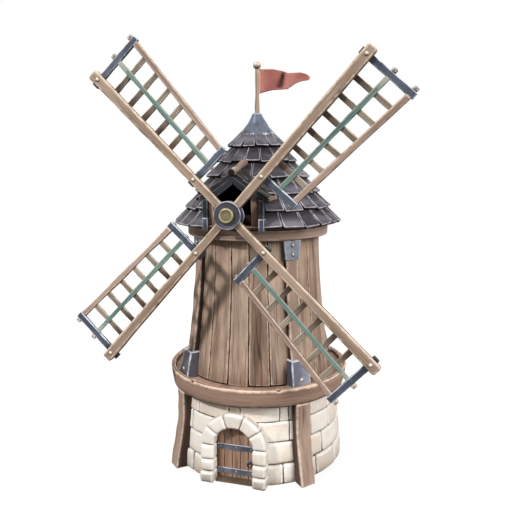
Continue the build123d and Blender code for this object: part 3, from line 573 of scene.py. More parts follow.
def timber_group():
    """Grain that runs along X: broad bands, streaks, fine lines and a few shakes."""
    tree, start, end = shader_group(
        "Timber grain",
        {"Along": "Vector", "Light": "Color", "Dark": "Color", "Bleached": "Color",
         "Tone": "Float", "Shakes": "Float"},
        {"Colour": "Color", "Height": "Float", "Streaks": "Float"})
    along = start["Along"]
    bands = noise(tree, along, (0.35, 3.0, 3.0), 2)
    streaks = noise(tree, along, (0.5, 11, 11), 3)
    lines = noise(tree, along, (2.0, 50, 50), 3)
    share = weighed(tree, bands, 0.6, streaks, 0.4)
    share = number(tree, "MULTIPLY_ADD", start["Tone"], 0.3,
                   number(tree, "SUBTRACT", share, 0.15))
    colour = mixed(tree, between(tree, share, 0.33, 0.67), start["Dark"],
                   start["Light"])
    patch = noise(tree, along, (0.22, 1.1, 1.1), 2)
    colour = mixed(tree, between(tree, patch, 0.48, 0.72, 0.0, 0.75), colour,
                   start["Bleached"])
    fine = between(tree, lines, 0.35, 0.65, 0.86, 1.06)
    colour = mixed(tree, 1.0, colour, fine, "MULTIPLY")
    split = number(tree, "ABSOLUTE", number(
        tree, "SUBTRACT", noise(tree, along, (0.1, 7, 7), 1), 0.5))
    shake = between(tree, split, 0.0, 0.02, 1.0, 0.0)
    gate = between(tree, noise(tree, along, (0.5, 2.2, 2.2), 1), 0.47, 0.57)
    shake = number(tree, "MULTIPLY", number(tree, "MULTIPLY", shake, gate),
                   start["Shakes"])
    dark = mixed(tree, 1.0, colour, (0.28, 0.2, 0.17, 1), "MULTIPLY")
    tree.links.new(mixed(tree, shake, colour, dark), end["Colour"])
    tree.links.new(number(tree, "SUBTRACT", weighed(tree, lines, 0.3, streaks, 0.7),
                          shake), end["Height"])
    tree.links.new(streaks, end["Streaks"])
    return tree


timber_grain = timber_group()


def timber(name, light, dark, edge_colour=None, wear=0.85, shakes=0.8, relief=0.008,
           lie=(0, 0, 0), dirt=(0.2, 0.14, 0.11), bleached=None):
    """Grained timber with rubbed edges, and with dirt and painted shade from the dirt
    mask.

    A CAD piece that is carried over gets no edge colour, and lie turns its grain to X.
    """
    material, tree, shader = begin_material(name, Specular_IOR_Level=0.2)
    if edge_colour:
        along, tone = attribute(tree, "grain", 1), attribute(tree, "tone")
    else:
        along = put(tree, "Mapping", {0: object_place(tree), 2: lie}).outputs[0]
        tone = 0.5
    grain = put(tree, "Group", {
        "Along": along, "Light": paint(*light), "Dark": paint(*dark),
        "Bleached": paint(*(bleached or light)), "Tone": tone, "Shakes": shakes},
        node_tree=timber_grain).outputs
    colour = weathered_and_shaded_colour(tree, grain["Colour"], along, edge_colour, wear, dirt)
    finish_shader(tree, shader, colour, grain["Height"], relief,
                  between(tree, grain["Streaks"], 0.3, 0.7, 0.62, 0.82))
    return material


def turned_form(profile, edge, segments=32, count=1):
    """A turned form: a profile of (radius, height) swept round Z in equal steps."""
    profile = np.asarray(profile, float)
    turn = np.arange(segments) * 2 * pi / segments

    def swept(pairs):
        """Pairs of a distance from the axis and a height, carried round."""
        return np.stack([pairs[:, :1] * np.cos(turn), pairs[:, :1] * np.sin(turn),
                         pairs[:, 1:] + 0 * turn], -1)

    slope = np.gradient(profile, axis=0)
    at = np.repeat(swept(profile)[None], count, 0)
    out = swept(unit(np.stack([slope[:, 1], -slope[:, 0]], 1)))
    step = np.linalg.norm(np.diff(profile, axis=0), axis=1)
    run = np.concatenate([[0], np.cumsum(step)])[:, None] + 0 * turn
    grain = np.stack([run, at[0, ..., 0], at[0, ..., 1]], -1)
    return form_of(at, out, grain, np.asarray(edge, float)[:, None])


def stood(form, places, outward):
    """Stand turned forms on their places, with Z along an outward direction."""
    outward = unit(np.broadcast_to(np.asarray(outward, float), (len(places), 3)))
    side = unit(np.cross(outward, (0.31, 0.2, 0.93)))
    return placed(form, places, side, np.cross(outward, side), outward)


def domes(radius, height, places, outward):
    """Round-headed bolts: a quarter circle turned, standing on a short shank."""
    rise = np.radians(np.array((30, 55, 75, 88)))
    profile = [(radius * 0.9, -0.02), (radius, 0.0)]
    profile += list(zip(radius * np.cos(rise), height * np.sin(rise)))
    return stood(turned_form(profile, (0, 0.3, 0.5, 0.8, 1, 1), 16, len(places)),
                 places, outward)


def washers(radius, thick, places, outward):
    """Flat round washers with a chamfered rim."""
    profile = [(radius * 0.2, -0.02), (radius, -0.02), (radius, thick * 0.6),
               (radius * 0.9, thick), (radius * 0.5, thick)]
    return stood(turned_form(profile, (0, 0, 0.7, 1, 0), 20, len(places)), places,
                 outward)


leaf_half, leaf_front, leaf_foot, skin_joint = 0.745, 2.8795, 0.075, 0.001
front_thick, back_thick, front_gap, back_gap = 0.042, 0.026, 0.03, 0.002
strap_levels, strap_tall, strap_thick, strap_half = (0.33, 1.235), 0.215, 0.028, 0.686
strap_sunk, bolt_stand, strap_bolt_places = 0.02, 0.022, (-0.56, 0.0, 0.56)
ring_place, ring_level, ring_radius, ring_wire = 0.50, 0.74, 0.085, 0.017
# The radius of bolts, bosses and washers, and how far they stand out.
door_bolt_size, handle_plate_size, handle_boss_size = (
    (0.028, 0.018), (0.082, 0.014), (0.032, 0.055))
forwards = (0, -1, 0)


def door_boards():
    """Boards whose heads follow the arch: height = foot + share x (arch - foot)."""
    forms = []
    for many, front, thick, gap, seed in (
            (5, leaf_front, front_thick, front_gap, 31),
            (4, leaf_front - front_thick - skin_joint, back_thick, back_gap, 32)):
        wide = 2 * leaf_half / many
        form = bars([(1.0, wide - gap, thick)] * many, 0.009, 0.02, 3, 6, 2, 12)
        x = form.at[..., 1] + each(wide * (np.arange(many) + 0.5) - leaf_half)
        arch = spring + np.sqrt(np.maximum(leaf_half**2 - x**2, 0.0))
        rise = leaf_foot + form.at[..., 0] * (arch - leaf_foot)
        form.grain[..., 0] = rise
        form.at = np.stack([x, -(front - thick / 2) - form.at[..., 2], rise], -1)
        # Painted shade under the arch and beside the jambs, and most beside the hinge.
        inside = door_half - np.hypot(x, np.maximum(rise - spring, 0))
        soiled_and_shaded(form, 0.8 * fading(inside, 0, 0.16))
        soiled_and_shaded(form, fading(x + door_half, 0.0255, 0.1955))
        # The back skin is painted dark all over, as shade in the gaps between the front boards.
        if front < leaf_front:
            form.dirt[:] = 1
        forms.append(toned(form, seed))
    return forms


def straps():
    """Two flat bars across the boards, their faces a little uneven."""
    form = bars([(2 * strap_half, strap_tall, strap_thick + strap_sunk)] * 2, 0.012,
                0.03, 4, 5, 3, 10)
    toned(uneven(form, 0.4, 0.002, 33), 34)
    origin = [(-strap_half, -leaf_front, level) for level in strap_levels]
    return placed(form, origin, (1, 0, 0), (0, 0, 1), forwards)


def drop_ring():
    """A ring that hangs from its boss: a round wire carried round most of a circle."""
    turn = np.radians(np.linspace(24, 336, 30))[:, None]
    way = np.linspace(0, 2 * pi, 11)[:-1]
    radial = np.stack([np.sin(turn), 0 * turn, np.cos(turn)], -1)
    out = np.cos(way)[:, None] * radial + np.sin(way)[:, None] * forwards
    middle = (ring_place, -leaf_front - 2 * ring_wire, ring_level - ring_radius)
    at = (np.array(middle) + ring_radius * radial + ring_wire * out)[None]
    return form_of(at, out, at, 0.2, 0.5)


door_wood = timber("Door boards", (194, 156, 131), (142, 110, 90), (214, 182, 158),
                   0.75, 1.0)
dark_iron = mottled("Blue-grey iron", (108, 110, 120), (66, 69, 80), (196, 200, 208),
                    rough=(0.45, 0.65), Metallic=0.12)
handle_iron = mottled("Handle iron", (62, 64, 72), (34, 36, 42), (150, 156, 168), 0.8,
                      0.003, rough=(0.45, 0.6), Metallic=0.15)
strap_bolts = [(x, -leaf_front - bolt_stand, z) for z in strap_levels
               for x in strap_bolt_places]
handle_place = [(ring_place, -leaf_front, ring_level)]
build("door_boards", door_boards(), door_wood, "door", "door_timber", "door_leaf")
build("door_strap_irons", [straps()], dark_iron, "door", "dark_iron", "door_straps")
build("door_bolts", [domes(*door_bolt_size, strap_bolts, forwards)], dark_iron, "door",
      "dark_iron")
build("door_ring", [drop_ring(), washers(*handle_plate_size, handle_place, forwards),
                    domes(*handle_boss_size, handle_place, forwards)], handle_iron,
      "door", "dark_iron", "door_handle")

# -------- buttress posts
# Four heavy timbers against the stone wall that carry the gallery's rim. Each is
# straight above its knee and splays out below, with worn corners.
corner_turns = np.radians((-135, -45, 45, 135))
buttress_wide, buttress_deep, knee, gallery_foot = 0.58, 0.4, 1.75, 2.905
knee_bend, buttress_sunk, buttress_clear = 0.2, 0.02, 0.003
buttress_reaches = (3.64, 3.335, 3.292, 3.285)


def chipped(form, count, depth, width, seed, side=None):
    """Small notches in a bar's long edges: dents that fade along and round the edge."""
    rng = np.random.default_rng(seed)
    bars_here = len(form.at)
    x = form.grain[..., 0] - form.grain[..., :1, :1, 0]
    long = x.max((1, 2), keepdims=True)
    corner = np.sign(form.out[..., 1:]) * (np.abs(form.out[..., 1:]) > 0.2)
    for _ in range(count):
        place = rng.uniform(0.06, 0.94, (bars_here, 1, 1)) * long
        wide = width * rng.uniform(0.5, 1.3, (bars_here, 1, 1))
        chosen = rng.choice((-1, 1), (bars_here, 1, 1, 2))
        near = (corner * (chosen if side is None else side)).sum(-1) > 1.5
        dent = fading(np.abs(x - place), 0, wide) * near
        form.at = form.at - (depth * dent)[..., None] * form.out
    return form


def flanks(form):
    """1 on a bar's two narrow sides, else 0."""
    return np.abs(form.out[..., 1]) > 0.9


def on_corners(form, x, reach, height):
    """Points of four like pieces, each turned to its own corner."""
    turn = each(corner_turns)
    form.at = np.stack([x * np.cos(turn) + reach * np.sin(turn),
                        x * np.sin(turn) - reach * np.cos(turn), height], -1)
    return form


def buttresses():
    """X is the height; the depth runs from the wall's face to the outer outline."""
    form = bars([(gallery_foot, buttress_wide, buttress_deep)] * 4, 0.035, 0.05, 4, 5, 4,
                20)
    toned(chipped(uneven(form, 0.9, 0.01, 41), 3, 0.03, 0.14, 42), 43, 0.5)
    # Painted shade on the two narrow sides.
    soiled_and_shaded(form, 0.8 * flanks(form))
    height = np.maximum(form.at[..., 0], buttress_clear)
    inner = wall_radius(height) - buttress_sunk
    outer = np.interp(height, (0, knee - knee_bend, knee + knee_bend, gallery_foot),
                      buttress_reaches)
    reach = inner + (form.at[..., 2] / buttress_deep + 0.5) * (outer - inner)
    return on_corners(form, form.at[..., 1], reach, height)


post_wood = timber("Post timber", (194, 168, 152), (156, 130, 114), (222, 200, 184),
                   dirt=(0.1, 0.07, 0.055))
build("buttress_timbers", [buttresses()], post_wood, "tower", "timber",
      "buttress_posts")

# -------- gallery
# A bent timber rim with a worn top edge and two splits, on radial joists, with
# boards laid side by side round the tower's foot.
rim_foot, rim_head, deck_head, deck_thick = 2.912, 3.568, 3.45, 0.1
rim_inner, rim_outer, deck_inner = 3.202, 3.36, 2.253
rim_levels, rim_reaches = (0, 0.12, 0.6, 1), np.array((3.285, 3.30, 3.36, 3.39))
ring_joint, ring_gap, notch_turns = radians(107), 0.004, np.radians((332, 388))
notch_half, notch_deep = 0.08, 0.09
deck_count, deck_gap, deck_clear, deck_sunk = 44, 0.008, 0.004, 0.002


def ring_bars(inner, outer, foot, head, edge, fade, detail, seed):
    """Two straight lengths for a ring: X is the arc, Y the height, Z the radius."""
    nominal = (inner + outer) / 2
    size = (pi * nominal - ring_gap, head - foot, outer - inner)
    form = toned(bars([size] * 2, edge, fade, *detail), seed, 0.4)
    form.dirt *= 0.3
    return form, nominal


def into_ring(form, nominal, foot, head):
    """Bend two straight lengths, end to end, into the ring they were cut for."""
    start = (form.at[..., 0] + ring_gap / 2) / nominal + ring_joint
    form.at[..., 0] = start + each((0, pi))
    form.at[..., 1] += (foot + head) / 2
    return curved(form, lambda height: nominal)


def gallery_rim():
    """Its outer face leans out as it rises, and two splits are cut in its top edge."""
    form, nominal = ring_bars(rim_inner, rim_outer, rim_foot, rim_head, 0.05, 0.09,
                              (5, 6, 3, 240), 51)
    uneven(form, 1.6, 0.008, 52)
    turn = form.at[..., 0] / nominal + ring_joint + each((0, pi))
    top = (form.out[..., 1] > 0.2) & (form.out[..., 2] > -0.1)
    for notch in notch_turns:
        dent = fading(np.abs(turn - notch) * nominal, 0, notch_half) * top
        form.at -= (notch_deep * dent)[..., None] * form.out
        # The splits are painted dark inside as shade, and their edges are not rubbed pale.
        soiled_and_shaded(form, held(2 * dent))
        form.edge *= 1 - held(2 * dent)
    tall = rim_head - rim_foot
    # Shade along the foot of the outer face.
    low = fading(form.at[..., 1] / tall, -0.46, -0.36)
    soiled_and_shaded(form, 0.5 * low * (form.out[..., 2] > 0))
    chipped(form, 3, 0.02, 0.18, 53, (1, 1))
    lean = np.interp(form.at[..., 1] / tall + 0.5, rim_levels, rim_reaches - rim_outer)
    form.at[..., 2] += np.where(form.at[..., 2] > 0, lean, 0)
    return into_ring(form, nominal, rim_foot, rim_head)


def deck_boards():
    """Radial boards, each a little wider at the rim than at the tower."""
    wide = pi * (deck_inner + rim_inner) / deck_count
    size = (rim_inner - deck_inner - deck_clear, wide - deck_gap, deck_thick)
    form = toned(bars([size] * deck_count, 0.008, 0.02, 2, 2, 1, 2), 55)
    turn = (each(np.arange(deck_count)) + form.at[..., 1] / wide) * 2 * pi / deck_count
    return round_tower(form, turn, form.at[..., 0] + deck_inner,
                       deck_head - deck_thick / 2 - deck_sunk + form.at[..., 2])


rim_wood = timber("Rim timber", (180, 150, 132), (146, 117, 100), (232, 204, 182), 1.0,
                  1.0, 0.014)
deck_wood = timber("Deck boards", (172, 142, 125), (146, 117, 101), (186, 156, 138), 0.4,
                   0.3)
hidden_wood = timber("Rough timber", (132, 104, 84), (88, 66, 52), shakes=0.6)
build("gallery_rim_timber", [gallery_rim()], rim_wood, "tower", "timber",
      "gallery_rim")
build("gallery_boards", [deck_boards()], deck_wood, "tower", "timber", "gallery_deck")
finish_nodes(hidden_wood, "gallery_joists")

# -------- plank tower
# Upright planks on a hollow flared wall, five to a side, with dark open seams and
# split feet. The seams show the boards of the wall behind, painted dark as shade.
tower_foot, tower_head = 3.45, 8.55
foot_radius, head_radius, flare_middle = 2.72, 2.25, 3.15
post_wide, post_lap = 0.48, 0.02
plank_wide, plank_thick, plank_clear, side_planks = 0.62, 0.08, 0.01, 5
plank_joint, cut_shift, seam_half = 0.006, 0.022, 0.011
plank_corner, plank_flats = 3, 9
split_columns, split_deep, split_reach = (2, 6), 0.035, (0.25, 1.5)
split_thin, split_spread, split_bend = 0.002, 0.010, 0.012
seam_wave, seam_dip, seam_dip_reach = 0.004, 0.018, 0.3
foot_lift_most, foot_slant, plank_stand = 0.05, 0.06, 0.008


def flare(height):
    """The tower's outline: a quadratic curve whose middle point sets the flare.

    Height is foot + 2 t (1 - t) m + t^2 H, so t comes from the quadratic's root.
    """
    tall = tower_head - tower_foot
    rise = np.clip(height - tower_foot, 0, tall)
    a = tall - 2 * flare_middle
    t = (-flare_middle + np.sqrt(flare_middle**2 + a * rise)) / a
    return (1 - t) ** 2 * foot_radius + (2 * t * (1 - t) + t**2) * head_radius


def split_feet(form, rng):
    """Two splits run up from each foot: a narrow fold in the face, deepest below."""
    count = len(form.at)
    face = form.at[:, :, plank_corner:plank_corner + plank_flats]
    x = face[..., 0]
    split = np.stack([rng.uniform(0.07, 0.2, count), rng.uniform(-0.2, -0.07, count)], 1)
    reach = rng.uniform(*split_reach, (count, 2))
    for k, column in enumerate(split_columns):
        open_share = fading(x, 0, each(reach[:, k]))[..., 0]
        wide = split_thin + split_spread * open_share
        middle = split[:, k, None] + split_bend * np.sin(3 * x[..., 0] + k)
        for step in (-1, 0, 1):
            face[:, :, column + step, 1] = middle - step * wide
        face[:, :, column, 2] -= split_deep * np.sqrt(open_share)
        # Painted shade inside each split.
        form.dirt[:, :, plank_corner + column] = held(3 * open_share)


def worn_seams(form, x, edge_way, tall, rng):
    """How far each long edge stands back: slow waves, and three worn dips a plank."""
    count = len(form.at)
    wander = 0
    for k in range(3):
        wave, phase = rng.uniform(0.5, 1.6, (2, count, 1, 1)) * (1, 2 * pi)[k % 2]
        wander = wander + seam_wave * np.sin(2 * pi * x / wave + phase + edge_way)
    for _ in range(3):
        place = rng.uniform(0.0, 1.0, (count, 1, 1)) ** 1.7 * tall
        chosen = rng.choice((-1, 1), (count, 1, 1))
        dip = fading(np.abs(x - place), 0, seam_dip_reach) * (edge_way == chosen)
        wander = wander + seam_dip * dip
    return np.abs(wander)


def planks():
    """Planks between the corner posts: Y is a share of the quarter's turn.

    Each foot is lifted and slanted by chance, and each plank stands in or out a
    little. A seam's width is the same at every height.
    """
    rng = np.random.default_rng(61)
    cuts = np.linspace(0, 1, side_planks + 1) + np.pad(
        [rng.uniform(-cut_shift, cut_shift, side_planks - 1) for _ in range(4)],
        ((0, 0), (1, 1)))
    first, last = each(cuts[:, :-1].ravel()), each(cuts[:, 1:].ravel())
    share, wide = (first + last) / 2, last - first
    count = len(share)
    tall = tower_head - tower_foot - 2 * plank_clear
    form = toned(bars([(tall, plank_wide, plank_thick)] * count, 0.028, 0.045,
                      plank_corner, plank_flats, 3, 44), 62)
    split_feet(form, rng)
    x, y = form.at[..., 0], form.at[..., 1]
    foot_lift = rng.uniform(0, foot_lift_most, (count, 1, 1))
    slant = rng.uniform(-foot_slant, foot_slant, (count, 1, 1))
    height = tower_foot + plank_clear + x + fading(x, 0, 0.5) * (foot_lift + slant * y)
    edge_way = np.sign(y) * (np.abs(form.out[..., 1]) > 0.3)
    narrow = y - edge_way * worn_seams(form, x, edge_way, tall, rng)
    radius = flare(height) + plank_joint + form.at[..., 2] + rng.uniform(
        -plank_stand, plank_stand, (count, 1, 1))
    quarter = pi / 2 - 2 * np.arcsin(held((post_wide / 2 - post_lap) / radius))
    turn = (each(np.repeat(np.arange(4), side_planks)) * pi / 2 - quarter / 2
            + (share + narrow / plank_wide * wide) * quarter
            - np.sign(y) * seam_half / radius * np.abs(narrow) / (plank_wide / 2))
    beside = (0.5 - np.abs(share - 0.5) - narrow * wide * np.sign(share - 0.5)) * (
        quarter * radius)
    rise = height - tower_foot
    # Painted shade beside the posts and under the cap; darker again at the foot,
    # where the wood is bleached.
    soiled_and_shaded(form, 0.8 * fading(beside, 0.04, 0.24))
    soiled_and_shaded(form, 0.55 * fading(height, 8.5, 8.0))
    soiled_and_shaded(form, 0.6 * fading(rise, 0.12, 0.92))
    form.tone += 0.8 * fading(rise, 0, 0.9) - 0.1
    return round_tower(form, turn, radius, height)


plank_wood = timber("Plank timber", (192, 164, 144), (118, 94, 79), (216, 190, 168),
                    0.85, 0.8, 0.012, bleached=(196, 176, 158))
# The wall behind the planks is painted dark, as shade in the seams.
shade_dark_wood = timber("Dark backing boards", (50, 34, 26), (28, 20, 16), shakes=0.5,
                   lie=(0, pi / 2, 0))
build("tower_planks", [planks()], plank_wood, "tower", "timber")
finish_nodes(shade_dark_wood, "wall_front", "wall_right", "wall_back", "wall_left")

# -------- corner posts
# Four curved posts that follow the flare and stand off the planks, each in an iron
# shoe at its foot and an iron plate at its head, with round-headed bolts.
post_deep, post_sunk, post_proud, post_taper = 0.34, 0.1, 0.28, 0.10
shoe_head, shoe_foot_size, shoe_head_size = 4.38, (0.75, 3.17), (0.62, 2.96)
plate_foot, plate_head = 7.84, 8.535
plate_foot_size, plate_head_size = (0.56, 2.50), (0.70, 2.475)
sleeve_sunk, sleeve_front = 0.06, 0.3
shoe_bolt_size, shoe_bolt_reach, shoe_bolt_level = (0.065, 0.035), 3.12, 3.72
plate_bolt_size, plate_ring_size = (0.05, 0.035), (0.078, 0.016)
plate_bolt_reach, plate_ring_reach, plate_bolt_levels = 2.505, 2.492, (8.03, 8.36)


def posts():
    """X is the height; the depth runs from inside the planks to the front face."""
    tall = tower_head - tower_foot
    form = bars([(tall, post_wide, post_deep)] * 4, 0.04, 0.05, 4, 5, 3, 34)
    toned(chipped(uneven(form, 1.1, 0.012, 71), 5, 0.03, 0.16, 72), 73, 0.5)
    # Painted shade on the two narrow sides.
    soiled_and_shaded(form, flanks(form))
    height = tower_foot + form.at[..., 0]
    inner = flare(height) - post_sunk
    outer = flare(height) + post_proud - post_taper * form.at[..., 0] / tall
    reach = inner + (form.at[..., 2] / post_deep + 0.5) * (outer - inner)
    return on_corners(form, form.at[..., 1], reach, height)


def sleeves(foot, head, foot_size, head_size, seed, front_left_shade=0.0):
    """Tapered iron sleeves: width and reach run evenly from the foot to the head.

    A size is a width and the front face's reach. The last argument is how far the one
    at the front left is darkened, as painted shade.
    """
    form = bars([(head - foot, 1.0, 1.0)] * 4, 0.03, 0.03, 4, 5, 3, 6)
    toned(uneven(form, 0.35, 0.006, seed), seed + 1, 0.5)
    # Painted shade on the two narrow sides, and on the whole of the one at the front left.
    soiled_and_shaded(form, 0.8 * flanks(form))
    form.dirt[1] = np.maximum(form.dirt[1], front_left_shade)
    rise, y = form.at[..., 0] / (head - foot), form.at[..., 1]
    width, outer = (a + rise * (b - a) for a, b in zip(foot_size, head_size))
    inner = flare(foot + form.at[..., 0]) - sleeve_sunk
    near_edge = np.sign(y) * (width / 2 - 0.5 + np.abs(y))
    x = np.where(np.abs(y) > 0.3, near_edge, y * width)
    back = 0.5 - form.at[..., 2]
    flat = outer - sleeve_front
    deep = np.maximum(inner, flat - (back - sleeve_front) / (1 - sleeve_front)
                      * (flat - inner))
    reach = np.where(back < sleeve_front, outer - back, deep)
    return on_corners(form, x, reach, foot + form.at[..., 0])


def corner_places(reach, height):
    """Places and outward directions on the four corners' faces."""
    out = np.stack([np.sin(corner_turns), -np.cos(corner_turns), np.zeros(4)], 1)
    return out * reach + (0, 0, height), out


shoe_iron = mottled("Shoe iron", (150, 150, 162), (104, 108, 122), (214, 216, 224),
                    0.95, rough=(0.5, 0.7), Metallic=0.1)
plate_iron = mottled("Plate iron", (142, 144, 154), (100, 104, 116), (208, 212, 220),
                     0.9, rough=(0.5, 0.7), Metallic=0.1)
pale_bolt = mottled("Worn bolt heads", (204, 190, 168), (160, 146, 126), (236, 226, 208),
                    0.8, 0.002, rough=(0.4, 0.55), Metallic=0.2)
build("corner_timbers", [posts()], post_wood, "tower", "timber", "corner_posts")
build("shoe_irons", [sleeves(tower_foot, shoe_head, shoe_foot_size, shoe_head_size, 74,
                             0.95)], shoe_iron, "tower", "dark_iron", "post_shoes")
build("plate_irons", [sleeves(plate_foot, plate_head, plate_foot_size, plate_head_size,
                              76)], plate_iron, "tower", "dark_iron", "post_plates")
shoe_bolts = [domes(*shoe_bolt_size, *corner_places(shoe_bolt_reach, shoe_bolt_level))]
plate_bolts, plate_rings = [], []
for level in plate_bolt_levels:
    plate_bolts.append(domes(*plate_bolt_size, *corner_places(plate_bolt_reach, level)))
    plate_rings.append(washers(*plate_ring_size,
                               *corner_places(plate_ring_reach, level)))
build("shoe_bolts", shoe_bolts, pale_bolt, "tower", "dark_iron")
build("plate_bolts", plate_bolts, pale_bolt, "tower", "dark_iron")
build("plate_rings", plate_rings, handle_iron, "tower", "dark_iron")

# -------- curb
# The fixed curb on the tower's head is a bent timber ring with worn edges; the
# cap's own ring turns on it and is mostly hidden by the eave.
curb_foot, curb_head, curb_inner, curb_outer = 8.552, 8.898, 2.12, 2.615


def curb():
    """Two bent lengths, end to end, paler along their lower edge."""
    form, nominal = ring_bars(curb_inner, curb_outer, curb_foot, curb_head, 0.035, 0.05,
                              (4, 4, 3, 72), 78)
    form.tone += 1.4 * (form.at[..., 1] < 0.05 - (curb_head - curb_foot) / 2)
    return into_ring(uneven(form, 0.9, 0.006, 79), nominal, curb_foot, curb_head)


curb_wood = timber("Curb timber", (178, 151, 136), (140, 115, 102), (226, 198, 176), 0.9)
build("curb_timber", [curb()], curb_wood, "tower", "timber", "curb_ring")
finish_nodes(hidden_wood, "cap_ring")

# -------- roof tiles
# Six rows of thick slate tiles on a boarded cone. Every tile is cut by hand: it is a
# little skewed, tipped and wedge-shaped, with a pale worn lower edge.
eave, eave_radius, pitch_tan, roof_head = 9.0005, 3.0, tan(radians(53.3)), 3.4211
row_counts, row_rise, tile_step = (23, 21, 19, 18, 17, 14), 0.54, 0.078
tile_thick, tile_lap, tile_spare, open_rows = 0.095, 0.03, 2.4, 2
tile_stand, tile_gap, foot_gap, foot_gap_reach = 0.006, 0.005, 0.02, 0.22
# The least and the most that a tile is skewed, tipped, slid up and cut aslant.
tile_skew, tile_tip, tile_slip, tile_slant = (
    (-0.035, 0.035), (0.045, 0.105), (-0.05, 0.03), (-0.06, 0.06))
dormer_half, gable_half, ridge_rise = 0.89, 1.12, 1.86
dormer_clear, gable_clear, joint_shift = 0.02, 0.02, 0.05
gable_slope = radians(36)
gable_tan = tan(gable_slope)


def tile_places(rng):
    """Row, turn and width of each tile; the two lowest rows leave out the dormer.

    Joints are shared out evenly and moved by chance. Tiles under the gable are left
    out as well.
    """
    row, turn, wide = [], [], []
    for k, many in enumerate(row_counts):
        cut = k < open_rows
        low = eave_radius - k * row_rise / pitch_tan
        skip = np.arcsin((dormer_half + dormer_clear) / (low - 0.1)) if cut else 0.0
        whole = 2 * pi - 2 * skip
        start = skip if cut else 0.5 * (k % 2) * whole / many
        shift = rng.uniform(-joint_shift, joint_shift, many + 1) * whole / many
        shift[0] *= not cut
        shift[-1] = shift[0]
        cuts = start + whole * np.linspace(0, 1, many + 1) + shift
        row += [k] * many
        turn += list((cuts[:-1] + cuts[1:]) / 2)
        wide += list(np.diff(cuts))
    row, turn, wide = np.array(row), np.array(turn), np.array(wide)
    middle = eave_radius - (row + 0.5) * row_rise / pitch_tan
    x, y = middle * np.sin(turn), -middle * np.cos(turn)
    gable_top = ridge_rise - gable_tan * np.abs(x) - gable_clear
    under = (row >= open_rows) & (y < 0) & (np.abs(x) < gable_half) & (
        (row + 0.62) * row_rise < gable_top)
    return row[~under], turn[~under], wide[~under]


def tile_rows():
    """X runs up the slope, Y is a share of the row's turn, Z stands off the slope."""
    rng = np.random.default_rng(81)
    row, turn, wide = tile_places(rng)
    count, last_row = len(row), len(row_counts) - 1
    low = row * row_rise
    top = np.where(row == last_row, roof_head, low + row_rise)
    low_radius = eave_radius - low / pitch_tan
    inward = eave_radius - top / pitch_tan - tile_step - low_radius
    slope = np.hypot(top - low, inward)
    form = bars(np.stack([slope + 2 * tile_lap, wide * tile_spare,
                          np.full(count, tile_thick)], 1), 0.026, 0.035, 3, 2, 2, 7)
    form.edge *= np.where(np.abs(form.out[..., 1]) > 0.5, 0.42, 1)
    toned(uneven(form, 0.45, 0.008, 82), 83)
    skew, tip, slip, slant = (rng.uniform(*pair, (count, 1, 1)) for pair in (
        tile_skew, tile_tip, tile_slip, tile_slant))
    x, share = form.at[..., 0], form.at[..., 1] / each(wide * tile_spare)
    run = x - tile_lap + slip + slant * share * fading(x, 0, 0.4)
    # Painted shade: each tile is darker up its slope, most of all under the row above.
    form.tone += 0.5 - 1.1 * x / each(slope)
    soiled_and_shaded(form, 0.95 * fading(x / each(slope), 0.72, 0.28))
    cosine, sine = each(inward / slope), each((top - low) / slope)
    lifted = np.maximum(0, 1 - run / each(slope)) ** 1.3
    off = form.at[..., 2] + tile_stand + tip * lifted
    radius = each(low_radius) + run * cosine + off * sine
    gap = (tile_gap + foot_gap * fading(run, 0, foot_gap_reach)) / radius
    angle = each(turn) + share * (each(wide) - 2 * gap) + skew * (run - 0.3) / radius
    height = eave + each(low) + run * sine - off * cosine
    return round_tower(form, angle, radius, height)


def slated(name, light, dark, *worn):
    """Slate: clouded and pitted, a little dull, with rubbed edges."""
    return mottled(name, light, dark, *worn, relief=0.008, rough=(0.55, 0.75),
                   Specular_IOR_Level=0.25)


slate = slated("Roof slate", (118, 113, 122), (64, 60, 69), (184, 178, 182))
# The bed under the tiles is painted dark, as shade in the gaps between them.
shade_dark_slate = slated("Slate bedding", (48, 44, 50), (30, 27, 32))
build("roof_tiles", [tile_rows()], slate, "cap", "slate_roof")
finish_nodes(shade_dark_slate, "roof_front_left", "roof_front_right", "roof_back_left",
             "roof_back_right", "dormer_roof")

# -------- finial and pole
# A sheet-metal cone with a rolled band covers the roof's head. A tapered pole stands
# in it, with a turned ball on top.
cone_foot, cone_head, cone_tip, cone_hollow = 12.0916, 12.9316, 0.17, 0.60
cone_band, cone_start, cone_sag, band_tall, cone_lip = 0.696, 0.655, 0.16, 0.105, 0.02
pole_foot, pole_head, ball_radius, ball_rise = 12.42, 14.4816, 0.145, 0.14
pole_taper, pole_radii, pole_tip = (12.95, 13.6), (0.089, 0.069), (0.055, 0.008)


def cone():
    """A flared cone over a rolled band; the flare is a circular sag of a straight."""
    share = np.linspace(0, 1, 12)
    radius = cone_start + share * (cone_tip - cone_start)
    radius = radius - cone_sag * share * (1 - share)
    height = (cone_foot + band_tall) * (1 - share) + (cone_head - cone_lip) * share
    band = [(cone_hollow, 0.03), (cone_hollow, 0), (cone_band - 0.02, 0),
            (cone_band, 0.02), (cone_band, 0.07), (cone_band - 0.012, 0.092)]
    profile = [(r, cone_foot + rise) for r, rise in band] + list(zip(radius, height))
    profile += [(cone_tip - 0.012, cone_head), (0.1, cone_head)]
    edge = [0, 0.1, 0.3, 0.2, 0.5, 0.4, 0.5] + [0] * 10 + [0.7, 1, 0.2]
    return toned(uneven(turned_form(profile, edge, 48), 0.5, 0.008, 91), 92, 0)


def pole():
    """A tapered round staff."""
    height = np.linspace(pole_foot, pole_head, 14)
    radius = np.interp(height, pole_taper, pole_radii)
    profile = list(zip(radius, height)) + [(pole_tip[0], pole_head + pole_tip[1])]
    form = turned_form(profile, [0] * 14 + [1], 20)
    return toned(uneven(form, 0.5, 0.004, 93), 94, 0)


